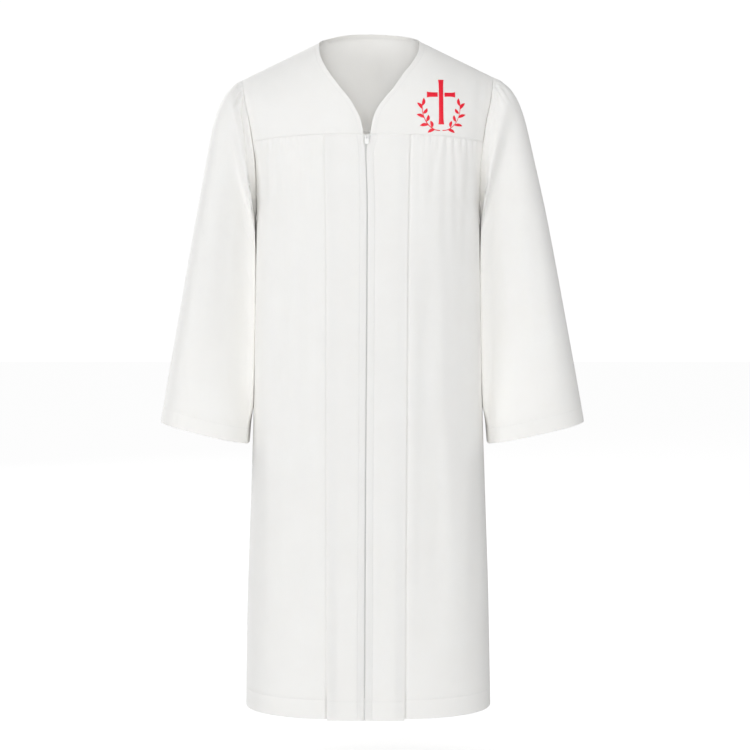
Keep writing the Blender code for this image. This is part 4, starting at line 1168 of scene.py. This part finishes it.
EMBLEM_X = 127.0
EMBLEM_Z = -114.5
EMBLEM_SIZE = 0.95
SATIN_PITCH = 0.42
SATIN_LIFT = 0.95
SATIN_RIDGE = 0.1
SATIN_SINK = 0.12
SATIN_SIDES = np.linspace(-1, 1, 9)
BAR_HALF = 4.3
BAR_FLARE = 1.3
LEAF_HALF = 2.9
LEAF_BEND = 1.4
LEAVES = rows_of(
    "x z angle length", (11, -45, -24, 15), (17, -42, 78, 13), (23, -37, -6, 16), (27, -31, 106, 13),
    (31, -24, 24, 15), (33, -16, 128, 12), (34.5, -8, 52, 15), (34.5, -2, 100, 15))


def on_yoke(x, z, lift):
    """A point above the front yoke's outer face."""
    y = torso_depth(x, z, FRONT)
    dy_dx = (torso_depth(x + 1, z, FRONT) - torso_depth(x - 1, z, FRONT)) / 2
    dy_dz = (torso_depth(x, z + 1, FRONT) - torso_depth(x, z - 1, FRONT)) / 2
    out = np.array([dy_dx, -1.0, dy_dz])
    return np.array([x, y, z]) + out / np.linalg.norm(out) * lift


def satin(points, faces, line, width_at):
    """Satin stitch along a line on the yoke: threads lie across it side by side, over a soft crown."""
    line = np.array(line, float)
    run = lengths(line)
    count = max(int(run[-1] / (SATIN_PITCH / 2)), 6)
    wide = len(SATIN_SIDES)
    first = len(points)
    for i, at in enumerate(np.linspace(0, run[-1], count + 1)):
        here = along(line, run, at)
        way = along(line, run, at + 1.5) - along(line, run, at - 1.5)
        way /= np.linalg.norm(way)
        half = max(width_at(at / run[-1]), 0.15)
        end = min(1.0, 2 * min(at, run[-1] - at) + 0.15)
        for s in SATIN_SIDES:
            x, z = here + np.array([-way[1], way[0]]) * half * s
            crown = (1 - abs(s) ** 2.6) ** 0.5
            lift = SATIN_LIFT * crown * end * min(1, half / 2.2) + SATIN_RIDGE * (i % 2) * crown - SATIN_SINK
            points.append(on_yoke(EMBLEM_X + EMBLEM_SIZE * x, EMBLEM_Z + EMBLEM_SIZE * z, lift))
    for start in range(first, first + count * wide, wide):
        faces += [(a, a + 1, a + 1 + wide, a + wide) for a in range(start, start + wide - 1)]


def arc(*stops, steps=14):
    """A smooth line through a few stops."""
    stops = np.array(stops, float)
    last = len(stops) - 1
    line = []
    for t in np.linspace(0, last, steps * last + 1):
        i = min(int(t), last - 1)
        s = t - i
        p0, p1, p2, p3 = stops[max(i - 1, 0)], stops[i], stops[i + 1], stops[min(i + 2, last)]
        line.append(0.5 * (2 * p1 + (p2 - p0) * s + (2 * p0 - 5 * p1 + 4 * p2 - p3) * s**2
                           + (3 * p1 - p0 - 3 * p2 + p3) * s**3))
    return line


def leaf_half(share):
    """Half the width of a leaf at a share of its length."""
    return LEAF_HALF * math.sin(math.pi * min(max(share, 0.02), 0.98)) ** 0.8


def emblem():
    points, faces = [], []
    satin(points, faces, [(0, 47), (0, -36)], lambda t: BAR_HALF + BAR_FLARE * abs(2 * t - 1) ** 6)
    for hand in (-1, 1):
        satin(points, faces, [(hand * 6.2, 19), (hand * 26, 19)], lambda t: BAR_HALF + BAR_FLARE * t**5)
    for hand in (-1, 1):
        stem = arc((hand * 2, -47), (hand * 13, -45), (hand * 25, -35), (hand * 33, -18), (hand * 35, 2))
        satin(points, faces, stem, lambda t: 0.95 - 0.35 * t)
        for leaf in LEAVES:
            turn = math.radians(leaf.angle)
            way = np.array([math.cos(turn), math.sin(turn)])
            root = np.array([leaf.x, leaf.z])
            middle = root + way * leaf.length * 0.5 + np.array([-way[1], way[0]]) * LEAF_BEND
            line = arc(*[(hand * x, z) for x, z in (root, middle, root + way * leaf.length)])
            satin(points, faces, line, leaf_half)
    piece = finish_mesh("emblem", settle(np.array(points)), faces, emblem_thread, sharp=180)


emblem()


# Floor, light and camera

AMBIENT = 0.505
BACKDROP = 1.02
KEY_WATTS = 30
FRONT_WATTS = 83
BACK_WATTS = 96
FLOOR_EDGE = 14.0
FLOOR_LEVEL = -1.26
FLOOR_PAINT = (0.35, 0.35, 0.35, 1)
FLOOR_GLOW = 0.80
PX = 1.78e-3
PHOTO_MIDDLE = 375
BODY_LINE = 368
EYE_ROW = 250
DISTANCE = 4.0
EYE_HEIGHT = -0.365

scene = bpy.context.scene
world = bpy.data.worlds.new("studio")
scene.world = world
world.use_nodes = True
sky = world.node_tree
seen = add(sky, "ShaderNodeLightPath").outputs["Is Camera Ray"]
strength = add(sky, "ShaderNodeMapRange", Value=seen, To_Min=AMBIENT, To_Max=BACKDROP).outputs["Result"]
fill(sky, sky.nodes["Background"], Color=(1, 1, 1, 1), Strength=strength)

floor_mesh = bpy.data.meshes.new("floor")
corners = [(FLOOR_EDGE * x, FLOOR_EDGE * y, FLOOR_LEVEL) for x, y in ((-1, -1), (1, -1), (1, 1), (-1, 1))]
floor_mesh.from_pydata(corners, [], [(0, 1, 2, 3)])
floor = bpy.data.objects.new("floor", floor_mesh)
scene.collection.objects.link(floor)
floor.visible_diffuse = False
paint, _, _ = material(
    "floor_paint", Base_Color=FLOOR_PAINT, Roughness=1.0, Specular_IOR_Level=0.0,
    Emission_Color=(1, 1, 1, 1), Emission_Strength=FLOOR_GLOW)
floor_mesh.materials.append(paint)


def lamp(name, place, aim, size, watts):
    light = bpy.data.lights.new(name, "AREA")
    light.shape = "DISK"
    light.size = size
    light.energy = watts
    holder = bpy.data.objects.new(name, light)
    holder.location = place
    holder.rotation_euler = (Vector(aim) - Vector(place)).to_track_quat("-Z", "Y").to_euler()
    scene.collection.objects.link(holder)


lamp("key", (-3.6, -2.3, 0.5), (0, 0, -0.5), 2.0, KEY_WATTS)
lamp("front", (0.0, -4.2, 0.2), (0, 0, -0.4), 1.6, FRONT_WATTS)
lamp("back", (-2.6, 3.4, 1.2), (0, 0, -0.5), 1.6, BACK_WATTS)

camera_data = bpy.data.cameras.new("camera")
camera = bpy.data.objects.new("camera", camera_data)
scene.collection.objects.link(camera)
scene.camera = camera
tilt = math.atan((PHOTO_MIDDLE - EYE_ROW) * PX / DISTANCE)
camera.location = ((PHOTO_MIDDLE - BODY_LINE) * PX, -DISTANCE, EYE_HEIGHT)
camera.rotation_euler = (math.pi / 2 - tilt, 0, 0)
camera_data.sensor_width = 36
camera_data.lens = 18 * DISTANCE / math.cos(tilt) / (PHOTO_MIDDLE * PX)
camera_data.clip_end = 100
scene.view_settings.view_transform = "Standard"
